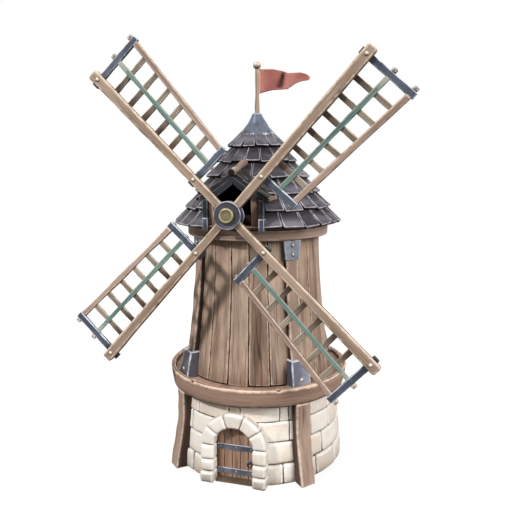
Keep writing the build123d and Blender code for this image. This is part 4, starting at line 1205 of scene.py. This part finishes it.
def ball():
    """A turned ball: a half circle swept round."""
    rise = np.radians(np.linspace(-84, 88, 16))
    profile = np.stack([ball_radius * np.cos(rise),
                        pole_head + ball_rise + ball_radius * np.sin(rise)], 1)
    # Painted highlight on the upper half, and painted shade on the lower half.
    form = turned_form(profile, held(np.sin(rise) - 0.2), 28)
    form.dirt += np.clip(-1.3 * np.sin(rise) + 0.15, 0, 0.85)[:, None]
    return toned(form, 95, 0)


sheet_metal = mottled("Grey sheet metal", (106, 115, 130), (64, 72, 86),
                      (196, 204, 216), 0.9, rough=(0.26, 0.36), Metallic=0.35)
pole_wood = timber("Pole timber", (188, 164, 142), (148, 124, 105), (216, 192, 170), 0.6)
ball_brass = mottled("Ball finish", (214, 200, 182), (178, 160, 138), (240, 230, 218),
                     0.8, 0.002, rough=(0.35, 0.5), Metallic=0.3)
build("finial_sheet", [cone()], sheet_metal, "cap", "painted_sheet", "finial_cone")
build("pole_staff", [pole()], pole_wood, "cap", "timber", "flag_pole")
build("pole_ball", [ball()], ball_brass, "cap", "brass")

# -------- flag
# A woven red pennant fixed to the pole. It waves in the wind and is cut to a tapering
# swallow shape, with a turned hem.
flag_top, flag_start, flag_long, flag_hoist, flag_thick = 14.49, 0.084, 1.87, 0.86, 0.012
flag_wave, flag_ripple, fold_deep, hem_allowance = 0.058, 0.018, 0.1, 0.03
# Pairs of a share of the length and a drop from the top, along each cut edge.
head_edge = ((0, 0), (0.27, 0.02), (0.45, 0.09), (0.58, 0.175), (0.83, 0.19),
             (0.93, 0.245), (1, 0.34))
foot_edge = ((0, 0.86), (0.27, 0.755), (0.56, 0.74), (0.72, 0.56), (0.85, 0.49),
             (0.96, 0.475), (1, 0.42))


def cut_edges(t):
    """Drop of the head edge and of the foot edge at a share of the length."""
    return np.interp(t, *zip(*head_edge)), np.interp(t, *zip(*foot_edge))


def fold_share(t, s):
    """How deep a place lies in the fold, from 0 to 1."""
    across = (t - 0.435 + 0.09 * (s - 0.5)) / (0.03 + 0.035 * s)
    return np.exp(-(across**2)) * held(4 * s) * held(6 - 6 * s)


def pennant():
    """Two faces a cloth's thickness apart on one waved surface, as one closed form.

    Along the length t: x = start + t L and y = -wave sin(3 pi t) min(1, 2 t), with a
    ripple that grows down the cloth; the height runs between the two cut edges. A
    deep fold, a bell curve in t, runs down the cloth a little before its middle. Rings
    go down one face and up the other, and the grain holds the cloth's flat place.
    """
    t, s = np.broadcast_arrays(np.linspace(0, 1, 60)[:, None], np.linspace(0, 1, 26))
    top, low = cut_edges(t)
    wave = flag_wave * np.sin(3 * pi * t) * np.minimum(1, 2 * t)
    ripple = flag_ripple * np.sin(2 * pi * (t * 2.3 + s * 0.6)) * np.minimum(
        1, 3 * t) * (0.3 + s)
    fold = fold_share(t, s)
    middle = np.stack([flag_start + t * flag_long, ripple - wave + fold_deep * fold,
                       flag_top - (top + s * (low - top))], -1)
    half = unit(np.cross(np.gradient(middle, axis=0),
                         np.gradient(middle, axis=1))) * flag_thick / 2
    flat = np.stack([t * flag_long, s * flag_hoist, 0 * t], -1)
    hem = np.max([fading(s, 0, 0.06), fading(s, 1, 0.94), fading(t, 1, 0.97),
                  1.6 * fading(t, 0.02, 0.03)], 0)
    # Painted shade in the fold and along the foot edge; the tone is painted light and shade that
    # follows the waves.
    dirt = np.maximum(held(1.6 * fold), 0.7 * fading(s, 0.98, 0.95))
    light = 0.5 + 0.5 * np.cos(3 * pi * t + 0.6)
    at, grain, edge, tone, dirt = (
        np.concatenate([front, back[:, ::-1]], 1)[None] for front, back in (
            (middle + half, middle - half), (flat, flat), (hem, hem), (light, light),
            (dirt, dirt)))
    return form_of(at, 0.0, grain, edge, tone, dirt)


def cloth_material():
    """Red cloth: plain weave of two crossed waves, painted light and shade along the
    waves and in the fold, and a paler hem.
    """
    material, tree, shader = begin_material("Flag cloth", Roughness=0.85,
                                            Sheen_Weight=0.3)
    place = attribute(tree, "grain", 1)
    share = weighed(tree, attribute(tree, "tone"), 0.45,
                    noise(tree, place, (1.6, 2.4, 1), 3), 0.6)
    colour = mixed(tree, between(tree, share, 0.2, 0.85), paint(158, 92, 82),
                   paint(200, 131, 117))
    colour = mixed(tree, number(tree, "MULTIPLY", attribute(tree, "edge"), 0.55), colour,
                   paint(218, 162, 146))
    colour = mixed(tree, attribute(tree, "dirt"), colour, paint(84, 34, 32))
    warp, weft = (put(tree, "TexWave", {0: place, "Scale": 28.0},
                      bands_direction=way).outputs[1] for way in "XY")
    finish_shader(tree, shader, colour, number(tree, "MULTIPLY", warp, weft), 0.003,
                  strength=0.4)
    return material


flag = build("flag_pennant", [pennant()], cloth_material(), "cap", "flag_cloth", "flag")

# -------- dormer
# A boarded dormer frames the shaft: brown jambs on a sill, dark stained rafters and
# hanging corner posts, shingled slopes and round logs along ridge and eaves.
dormer_front, gable_front = 2.8, 2.95
sill_long, sill_deep, sill_high, sill_thick = 1.78, 0.44, 0.09, 0.088
opening_half, jamb_wide, jamb_zone, jamb_thick = 0.59, 0.146, 0.30, 0.085
jamb_head_clear, jamb_foot_clear, jamb_set_back = 0.05, 0.002, 0.045
cheek_x, cheek_wide, cheek_thick, cheek_rise = 0.856, 0.196, 0.06, 0.97
cheek_set_back, cheek_step, cheek_count = 0.12, 0.2, 4
cheek_outer, cheek_hidden, cheek_shift = 0.86, 0.55, 0.07
rafter_long, rafter_deep, rafter_thick, rafter_y = 0.875, 0.225, 0.13, -2.87
rafter_sunk, apex_near, sill_y = 0.118, 0.25, -2.68
hung_x, hung_y, hung_foot, hung_sleeve_foot = 0.98, -2.853, 8.94, 8.932
hung_size, hung_sleeve_size = (1.03, 0.176, 0.182), (0.42, 0.196, 0.2)
shingle_rows, shingle_wide, shingle_thick, shingle_gap = 3, 0.42, 0.05, 0.012
shingle_lap, shingle_tip, shingle_off = 0.07, 0.06, 0.04
shingle_drop, shingle_shift, shingle_proud, shingle_least = 0.05, 0.015, 0.01, 0.3
ridge_log_radius, ridge_log_long, ridge_log_y = 0.112, 1.5, -3.04
eave_log_radius, eave_log_long, eave_log_y, eave_log_x = 0.073, 1.1, -3.025, 1.1954
ridge_climb = radians(12)
ridge = eave + ridge_rise
roof_thick = 0.09 / cos(gable_slope)
rightwards, backwards, upwards = (1, 0, 0), (0, 1, 0), (0, 0, 1)


def straight(size, origin, along, across, edge=0.015, fade=0.03, seed=0,
             detail=(4, 3, 3, 8), wave=0.006, spread=1.0, chips=0, facing=None):
    """Straight timbers: from a start point along a direction, width along another.

    Facing is the way that the clean front of the timber looks.
    """
    size = np.atleast_2d(np.asarray(size, float))
    form = bars(size, edge, fade, *detail)
    uneven(form, max(0.4, float(size[:, 0].mean()) * 0.4), wave, seed)
    if chips:
        chipped(form, chips, 0.4 * edge + 0.008, 0.09, seed + 1)
    toned(form, seed + 2, spread)
    along, across = (unit(np.broadcast_to(np.asarray(way, float), (len(size), 3)))
                     for way in (along, across))
    if facing is not None and np.cross(along, across)[0] @ np.asarray(facing) < 0:
        across = -across
    return placed(form, origin, along, across, np.cross(along, across))


def down_slope(side):
    """Directions down the gable's slope on one side, and square out of it."""
    return (np.array((side * cos(gable_slope), 0, -sin(gable_slope))),
            np.array((side * sin(gable_slope), 0, cos(gable_slope))))


def jambs():
    """Upright boards beside the opening, with cheeks of boards behind them."""
    forms = []
    for side in (-1, 1):
        for k, share in enumerate((0.25, 0.75)):
            x = side * (opening_half + jamb_zone * share)
            foot = eave + sill_high
            tall = ridge - roof_thick - gable_tan * abs(x) - jamb_head_clear - foot
            origin = (x, jamb_set_back - dormer_front, foot + jamb_foot_clear)
            forms.append(straight((tall, jamb_wide, jamb_thick), origin, upwards,
                                  rightwards, seed=110 + 3 * k + side, edge=0.012,
                                  facing=forwards))
        for k in range(cheek_count):
            y = -dormer_front + cheek_set_back + cheek_step * k
            middle = np.hypot(y + cheek_step / 2, cheek_outer)
            roof_at = (eave_radius - middle) * pitch_tan
            foot = max(sill_high, roof_at - cheek_hidden)
            origin = (side * cheek_x, y + cheek_shift, eave + foot)
            forms.append(straight((cheek_rise - foot, cheek_wide, cheek_thick), origin,
                                  upwards, backwards, seed=120 + 3 * k + side, edge=0.01,
                                  facing=(side, 0, 0)))
    return forms


def rafters():
    """Sloping timbers under the dormer's eaves, cut off where they meet."""
    forms = []
    for side in (-1, 1):
        down, off = down_slope(side)
        form = straight((rafter_long / cos(gable_slope), rafter_deep, rafter_thick),
                        (0, rafter_y, ridge - roof_thick) - off * rafter_sunk, down, off,
                        seed=130 + side, edge=0.02, chips=3, detail=(4, 4, 2, 12),
                        facing=forwards)
        x = form.at[..., 0]
        form.at[..., 0] = np.where((np.abs(x) < apex_near) & (x * side < 0), 0, x)
        forms.append(form)
    return forms


def hung(size, foot, seed, **looks):
    """Two uprights at the dormer's front corners."""
    return [straight(size, (side * hung_x, hung_y, foot), upwards, rightwards,
                     seed=seed + side, facing=forwards, **looks) for side in (-1, 1)]


def shingles():
    """Slates on the dormer's slopes: X runs up the slope, Y back from the gable."""
    rng = np.random.default_rng(161)
    slope = gable_half / cos(gable_slope)
    forms = []
    for side in (-1, 1):
        down, off = down_slope(side)
        for k in range(shingle_rows):
            low = k * slope / shingle_rows
            distance = gable_half - low * cos(gable_slope)
            roof_at = eave_radius - (ridge_rise - gable_tan * distance) / pitch_tan
            reach = gable_front + shingle_proud - max(shingle_least, roof_at)
            cuts = np.linspace(0, reach, max(2, round(reach / shingle_wide)) + 1)
            joints = list(zip(cuts[:-1], cuts[1:]))
            size = [(slope / shingle_rows + shingle_lap, b - a - shingle_gap,
                     shingle_thick) for a, b in joints]
            base = np.array((side * gable_half, -gable_front,
                             ridge - gable_half * gable_tan))
            origin = [base + off * shingle_off + (0, (a + b) / 2, 0) - down * (
                low - shingle_drop + rng.uniform(-shingle_shift, shingle_shift))
                for a, b in joints]
            forms.append(straight(size, origin, -down - off * shingle_tip, backwards,
                                  seed=170 + 5 * k + side, edge=0.014,
                                  detail=(3, 2, 2, 2), facing=off))
    return forms


def log(radius, start, way, long, seed):
    """A round log with rounded, slightly domed ends: a profile swept round."""
    near = np.array((0, 0.006, 0.02))
    along = np.concatenate([near, np.linspace(0.05, long - 0.05, 10),
                            long - near[::-1]])
    girth = np.interp(np.minimum(along, long - along), near, (0.6, 0.9, 0.985)) * radius
    girth[3:-3] = radius
    form = turned_form(np.stack([girth, along], 1),
                       [0.2, 1, 1] + [0] * 10 + [1, 1, 0.2], 24)
    # The front end is painted dark as shade, without pale edges.
    form.dirt[:, :3] = 1
    form.edge[:, :3] = 0
    toned(uneven(form, 0.35, 0.012, seed), seed + 1)
    way = unit(np.asarray(way, float))
    side = unit(np.cross(way, upwards))
    return placed(form, start, side, np.cross(way, side), way)


def logs():
    """The ridge log climbs back to the main roof; two more lie along the eaves."""
    low = ridge - gable_half * gable_tan - roof_thick / 2
    forms = [log(ridge_log_radius, (0, ridge_log_y, ridge),
                 (0, cos(ridge_climb), sin(ridge_climb)), ridge_log_long, 181)]
    for side in (-1, 1):
        forms.append(log(eave_log_radius, (side * eave_log_x, eave_log_y, low),
                         backwards, eave_log_long, 184 + side))
    return forms


stained = timber("Stained timber", (46, 48, 52), (24, 26, 29), (122, 128, 134), 0.9, 0.6)
sleeve_iron = mottled("Sleeve iron", (88, 92, 105), (54, 58, 70), (200, 204, 214),
                      rough=(0.5, 0.7), Metallic=0.1)
jamb_wood = timber("Jamb boards", (168, 136, 118), (122, 94, 78), (204, 174, 152), 0.8)
log_wood = timber("Log timber", (196, 172, 154), (146, 122, 106), (222, 200, 180), 0.6,
                  dirt=(0.02, 0.016, 0.014))
dark_slate = slated("Dormer slate", (64, 62, 64), (36, 35, 38), (138, 132, 120), 0.9)
sill = straight((sill_long, sill_deep, sill_thick),
                (-sill_long / 2, sill_y, eave + sill_high / 2), rightwards, backwards,
                seed=101, chips=2, edge=0.02)
posts_hung = hung(hung_size, hung_foot, 140, edge=0.018, chips=3)
post_feet = hung(hung_sleeve_size, hung_sleeve_foot, 150, edge=0.02, wave=0.004)
build("dormer_ledge", [sill], jamb_wood, "cap", "timber", "dormer_sill")
build("dormer_boards", jambs(), jamb_wood, "cap", "timber", "dormer_sides")
build("dormer_rafters", rafters(), stained, "cap", "stained_timber", "gable_rafters")
build("dormer_posts", posts_hung, stained, "cap", "stained_timber", "hanging_posts")
build("dormer_post_sleeves", post_feet, sleeve_iron, "cap", "dark_iron")
build("dormer_slates", shingles(), dark_slate, "cap", "slate_roof")
build("dormer_logs", logs(), log_wood, "cap", "timber", "ridge_log", "eave_logs")
# The beams inside the cap, seen through the dormer, are painted dark as shade.
finish_nodes(shade_dark_wood, "neck_beam", "tail_beam")

# -------- rotor hub
# The tarred shaft ends in two iron discs that clamp the crossed stocks, with a dull
# brass boss in the middle of the front one.
spin = [joint for joint in frame["joints"] if joint["name"] == "rotor_spin"][0]
hub, rotor_z = np.array(spin["pos_m"], float), np.array(spin["axis"], float)
rotor_x = np.array((1.0, 0, 0))
rotor_y = np.cross(rotor_z, rotor_x)
hub_radius, whip_deep, disc_thick = 0.476, 0.2, 0.1
disc_near, disc_far = whip_deep / 2 + 0.001, whip_deep / 2 + disc_thick


def hub_form(profile, edge, segments, wave, seed, tone_seed):
    """A turned piece on the shaft's line, uneven by a wave's length and depth."""
    form = turned_form(profile, edge, segments)
    toned(uneven(form, *wave, seed), tone_seed, 0)
    return placed(form, hub, rotor_x, rotor_y, rotor_z)


def discs():
    """Two discs with rounded rims; the front one has a raised worn lip."""
    r, near, far = hub_radius, disc_near, disc_far
    front = [(0.1, near), (r - 0.01, near), (r, near + 0.012), (r, far - 0.035),
             (r - 0.01, far - 0.014), (r - 0.025, far), (r - 0.038, far - 0.002),
             (r - 0.05, far - 0.012), (0.26, far - 0.012), (0.1, far - 0.012)]
    back = [(0.15, -near), (r - 0.012, -near), (r, -near - 0.012),
            (r, -far + 0.02), (r - 0.02, -far), (0.21, -far), (0.15, -far)]
    return [hub_form(front, (0, 0, 0.2, 0.4, 1, 1, 0.6, 0, 0, 0), 56, (0.3, 0.004), 201,
                     203),
            hub_form(back, (0, 0, 1, 1, 1, 0, 0), 56, (0.3, 0.004), 202, 203)]


def boss():
    """A stepped boss with a bright rim, and painted shade round its foot and inside
    its lip.
    """
    steps = ((0.12, -0.02), (0.25, -0.02), (0.25, 0.04), (0.247, 0.07), (0.236, 0.09),
             (0.215, 0.1), (0.19, 0.098), (0.178, 0.088), (0.165, 0.084),
             (0.08, 0.084), (0.02, 0.086))
    form = hub_form([(r, disc_far + rise) for r, rise in steps],
                    (0, 0, 0.1, 0.5, 1, 1, 0.9, 0.3, 0, 0, 0), 48, (0.2, 0.003), 205,
                    206)
    form.dirt[:, 1:3] = 0.7
    form.dirt[:, 7:9] = 0.35
    return form


hub_iron = mottled("Hub iron", (68, 65, 72), (38, 36, 42), (186, 192, 202),
                   rough=(0.45, 0.65), Metallic=0.15)
hub_brass = mottled("Hub brass", (130, 120, 88), (98, 89, 62), (184, 174, 136), 0.8,
                    0.003, rough=(0.42, 0.6), Metallic=0.25)
tarred_oak = timber("Tarred oak", (66, 54, 46), (34, 28, 25), shakes=0.4,
                    lie=(0, 0, pi / 2))
build("hub_discs", discs(), hub_iron, "rotor", "dark_iron", "hub_plates")
build("hub_brass", [boss()], hub_brass, "rotor", "brass", "hub_boss")
finish_nodes(tarred_oak, "windshaft")

# -------- whips
# Four tapered whips of pale timber, wider at the tip, clamped at the hub. A round
# bolt with a dark washer goes through each at both irons.
stock_turns = np.radians((48.7, 136.3, 228.7, 316.3))
whip_start, whip_end, whip_wide, whip_play = 0.16, 6.78, 0.3, 0.004
hub_half, tip_half, whip_blunt = 0.14, 0.185, 0.09
inner_iron, outer_iron = 1.67, 6.475
whip_washer_size, whip_bolt_size, whip_bolt_stand = (0.076, 0.012), (0.064, 0.045), 0.01


def whip_axes(turn):
    """Directions out along a whip, across it and forward."""
    out = cos(turn) * rotor_x + sin(turn) * rotor_y
    return out, np.cross(rotor_z, out), rotor_z


def whip_half(reach):
    """Half the whip's width at a distance out."""
    return hub_half + (tip_half - hub_half) * (reach - whip_start) / (
        whip_end - whip_start)


def open_backed(form):
    """A piece also seen from behind: its back face gets only a little painted shade."""
    form.dirt *= np.where(form.out[..., 2] < -0.9, 0.25, 1)
    return form


def whip_timber(turn, seed):
    """One whip: its width grows evenly and its edges wander a little."""
    form = bars([(whip_end - whip_start, whip_wide, whip_deep - whip_play)], 0.038, 0.05,
                4, 5, 4, 60)
    # Painted shade on the two narrow sides.
    soiled_and_shaded(chipped(uneven(form, 1.3, 0.008, seed), 6, 0.02, 0.12, seed + 1),
           0.6 * flanks(form))
    open_backed(toned(form, seed + 2, 0.4))
    reach = form.at[..., 0] + whip_start
    blunt = fading(reach, whip_end, whip_end - whip_blunt)
    form.at[..., 1] *= whip_half(reach) / (whip_wide / 2) * (1 - 0.3 * blunt**2)
    out, across, forward = whip_axes(turn)
    return placed(form, hub + out * whip_start, out, across, forward)


whip_wood = timber("Whip timber", (174, 150, 131), (130, 108, 92), (222, 202, 178),
                   1.0, 0.7, bleached=(184, 160, 142))
for k, turn in enumerate(stock_turns):
    build(f"whip_timber_{k + 1}", [whip_timber(turn, 211 + 4 * k)], whip_wood, "rotor",
          "timber", f"whip_{k + 1}")
bolt_places = np.array([hub + whip_axes(turn)[0] * reach + rotor_z * whip_deep / 2
                        for turn in stock_turns for reach in (inner_iron, outer_iron)])
build("whip_washers", [washers(*whip_washer_size, bolt_places, rotor_z)], handle_iron,
      "rotor", "dark_iron")
build("whip_bolts", [domes(*whip_bolt_size, bolt_places + rotor_z * whip_bolt_stand,
                           rotor_z)], pale_bolt, "rotor", "dark_iron")

# -------- sails
# Each sail is a ladder of laths between its whip and an outer rail, with a painted
# mid rail in front. Two iron bars tie them, and the rails' keyed ends pass the irons.
sail_pitch, sail_back, lath_count = radians(3.5), 0.06, 6
inner_width, outer_width, rail_inset = 1.37, 1.84, 0.09
ladder_clear, mid_clear, lath_lap = 0.105, 0.1, 0.065
rail_size, lath_size = (0.2, 0.12), (0.19, 0.064)
mid_size, iron_size = (0.166, 0.054), (0.236, 0.118)
rail_level, lath_level, mid_level = -0.06, -0.086, -0.034
iron_tail, iron_tip = 0.075, 0.058
# Each rail end's start and finish from the iron's middle, and its width.
inner_key, outer_key, key_depth_share = (-0.1, -0.17, 0.14), (0.1, 0.25, 0.19), 0.66


def sail_width(reach):
    """The sail's width from the whip's centre line, at a distance out."""
    return inner_width + (outer_width - inner_width) * (reach - inner_iron) / (
        outer_iron - inner_iron)


def rail_line(reach):
    """The outer rail's place across the sail."""
    return rail_inset - sail_width(reach)


def mid_line(reach):
    """The mid rail's place across the sail."""
    return (2 * rail_inset - whip_half(reach) - sail_width(reach)) / 2


def sail_bar(turn, start, end, level, size, seed, edge=0.016, detail=(4, 3, 3, 8),
             wave=0.008, chips=2, fade=0.04):
    """A straight bar between two places, out and across, in a sail's pitched plane."""
    out, across, forward = whip_axes(turn)
    across = cos(sail_pitch) * across + sin(sail_pitch) * forward
    square = np.cross(out, across)
    middle = hub + forward * (sail_back - whip_deep / 2)
    a, b = (middle + np.array((*place, level)) @ np.array([out, across, square])
            for place in (start, end))
    return open_backed(straight((float(np.linalg.norm(b - a)), *size), a, b - a,
                                np.cross(square, b - a), edge, fade, seed, detail, wave,
                                0.8, chips))


def past(form, far):
    """Distance of each point from a bar's start, or from its far end."""
    x = form.grain[..., 0]
    return x.max() - x if far else x - x.min()


def ladder(turn, seed):
    """The outer rail and the six laths of one sail; laths carry painted shade near
    the whip.
    """
    first, last = inner_iron + ladder_clear, outer_iron - ladder_clear
    forms = [sail_bar(turn, (first, rail_line(first)), (last, rail_line(last)),
                      rail_level, rail_size, seed, 0.03, (4, 4, 3, 40), 0.01, 5)]
    for k in range(lath_count):
        reach = inner_iron + (k + 1) * (outer_iron - inner_iron) / (lath_count + 1)
        lath = sail_bar(turn, (reach, whip_half(reach) - lath_lap),
                        (reach, rail_line(reach)), lath_level, lath_size, seed + 3 + k,
                        0.018)
        # Painted shade near the whip, where the pale edge is also weakened.
        shade = fading(past(lath, False), 0.36, 1.08)
        lath.edge *= 1 - 0.6 * shade
        forms.append(soiled_and_shaded(lath, 0.92 * shade))
    return forms


def mid_rails():
    """The painted rails, in front of the laths; the paint is worn off the tip end."""
    first, last = inner_iron + mid_clear, outer_iron - mid_clear
    forms = [sail_bar(turn, (first, mid_line(first)), (last, mid_line(last)), mid_level,
                      mid_size, 301 + 5 * k, 0.02, (4, 4, 3, 40), 0.008, 5)
             for k, turn in enumerate(stock_turns)]
    for form in forms:
        worn_tip = 1.6 * fading(past(form, True), 0.175, 0.525)
        form.edge = np.maximum(form.edge, worn_tip)
    return forms


def irons():
    """Hammered bars across the back of each whip, out past the outer rail."""
    forms = []
    for k, turn in enumerate(stock_turns):
        for reach in (inner_iron, outer_iron):
            iron = sail_bar(turn, (reach, whip_half(reach) + iron_tail),
                            (reach, -sail_width(reach) - iron_tip), rail_level,
                            iron_size, 321 + 7 * k + int(reach), 0.024, (4, 4, 3, 20),
                            0.006, 4, 0.02)
            # Painted shade where the iron lies behind the whip, with less pale edge.
            behind_whip = fading(past(iron, False), 0.5, 0.6)
            iron.edge *= 1 - 0.7 * behind_whip
            forms.append(soiled_and_shaded(iron, 0.7 * behind_whip))
    return forms


def rail_ends():
    """The keyed ends of the rails, past the irons."""
    return [sail_bar(turn, (reach + near, line(reach)), (reach + far, line(reach)),
                     rail_level, (wide, key_depth_share * wide),
                     351 + 9 * k + int(reach), 0.045, (4, 2, 3, 1), 0.004, 0)
            for k, turn in enumerate(stock_turns)
            for reach, (near, far, wide) in ((inner_iron, inner_key),
                                             (outer_iron, outer_key))
            for line in (rail_line, mid_line)]


rail_wood = timber("Rail timber", (180, 156, 141), (138, 115, 101), (216, 192, 174), 0.9)
lath_wood = timber("Lath timber", (162, 147, 131), (118, 104, 90), (200, 188, 168), 0.9)
green_paint = timber("Green painted timber", (118, 146, 137), (78, 106, 100),
                     (190, 184, 172), 0.7, 0.5)
end_wood = timber("Rail ends", (160, 142, 134), (114, 100, 96), (206, 194, 186), 0.9)
iron_bars = mottled("Iron bars", (78, 84, 98), (50, 55, 69), (204, 210, 220),
                    relief=0.006, rough=(0.45, 0.65), Metallic=0.15)
for k, turn in enumerate(stock_turns):
    rail, *laths = ladder(turn, 231 + 12 * k)
    build(f"sail_rail_{k + 1}", [rail], rail_wood, "rotor", "timber")
    build(f"sail_laths_{k + 1}", laths, lath_wood, "rotor", "timber",
          f"lattice_{k + 1}")
build("sail_mid_rails", mid_rails(), green_paint, "rotor", "green_timber", "mid_rails")
build("sail_iron_bars", irons(), iron_bars, "rotor", "dark_iron", "sail_irons")
build("rail_end_keys", rail_ends(), end_wood, "rotor", "timber", "rail_pegs")

# -------- studio
# A pale floor and soft light from all round, with a key lamp high at the front left,
# an equally strong but broader one at the right and a weaker one behind.
floor_half, floor_grey = 60, 0.2
# How bright the floor and the background look, and how strongly the world lights.
floor_seen, world_seen, world_light = 0.84, 0.81, 0.19
# Each lamp's strength, breadth in degrees, and the way to it from the mill.
lamps = (("Key", 2.45, 6, (-0.46, -0.64, 0.68)), ("Side", 2.45, 30, (0.8, -0.34, 0.45)),
         ("Back", 1.2, 30, (-0.2, 0.88, 0.4)))
lens, film_width = 42.32, 36
view_right, view_up, view_back = ((0.9589, 0.2836, -0.0058), (-0.0406, 0.1575, 0.9867),
                                  (0.2807, -0.9459, 0.1626))
view_place = (6.364, -21.712, 11.358)


def seen_ray(tree):
    """1 for what the camera sees straight, mirrored or through glass, else 0."""
    path = put(tree, "LightPath").outputs
    return number(tree, "MAXIMUM", path["Is Camera Ray"],
                  number(tree, "MAXIMUM", path["Is Glossy Ray"],
                         path["Is Transmission Ray"]))


def add(name, data):
    """An object for some data, in the scene."""
    made = bpy.data.objects.new(name, data)
    bpy.context.scene.collection.objects.link(made)
    return made


floor_mesh = bpy.data.meshes.new("studio_floor")
floor_mesh.from_pydata([(x * floor_half, y * floor_half, 0) for x, y in (
    (-1, -1), (1, -1), (1, 1), (-1, 1))], [], [(0, 1, 2, 3)])
add("studio_floor", floor_mesh)
floor_paint, tree, shader = begin_material(
    "Studio floor", Base_Color=(floor_grey, floor_grey, floor_grey, 1), Roughness=1.0,
    Emission_Color=(1, 1, 1, 1))
tree.links.new(number(tree, "MULTIPLY", seen_ray(tree), floor_seen),
               shader.inputs["Emission Strength"])
floor_mesh.materials.append(floor_paint)
world = bpy.data.worlds.new("Studio light")
bpy.context.scene.world = world
world.use_nodes = True
tree, background = world.node_tree, world.node_tree.nodes["Background"]
background.inputs["Color"].default_value = (1, 1, 1, 1)
tree.links.new(number(tree, "MULTIPLY_ADD", seen_ray(tree), world_seen, world_light),
               background.inputs["Strength"])

for name, energy, breadth, way in lamps:
    light = bpy.data.lights.new(name, "SUN")
    light.energy, light.angle = energy, radians(breadth)
    add(name, light).rotation_euler = Vector(way).to_track_quat("Z", "Y").to_euler()

camera = bpy.data.cameras.new("Camera")
camera.lens, camera.sensor_width = lens, film_width
viewer = add("Camera", camera)
facing = Matrix((view_right, view_up, view_back)).transposed().to_4x4()
facing.translation = Vector(view_place)
viewer.matrix_world = facing
bpy.context.scene.camera = viewer
bpy.context.scene.view_settings.view_transform = "Standard"
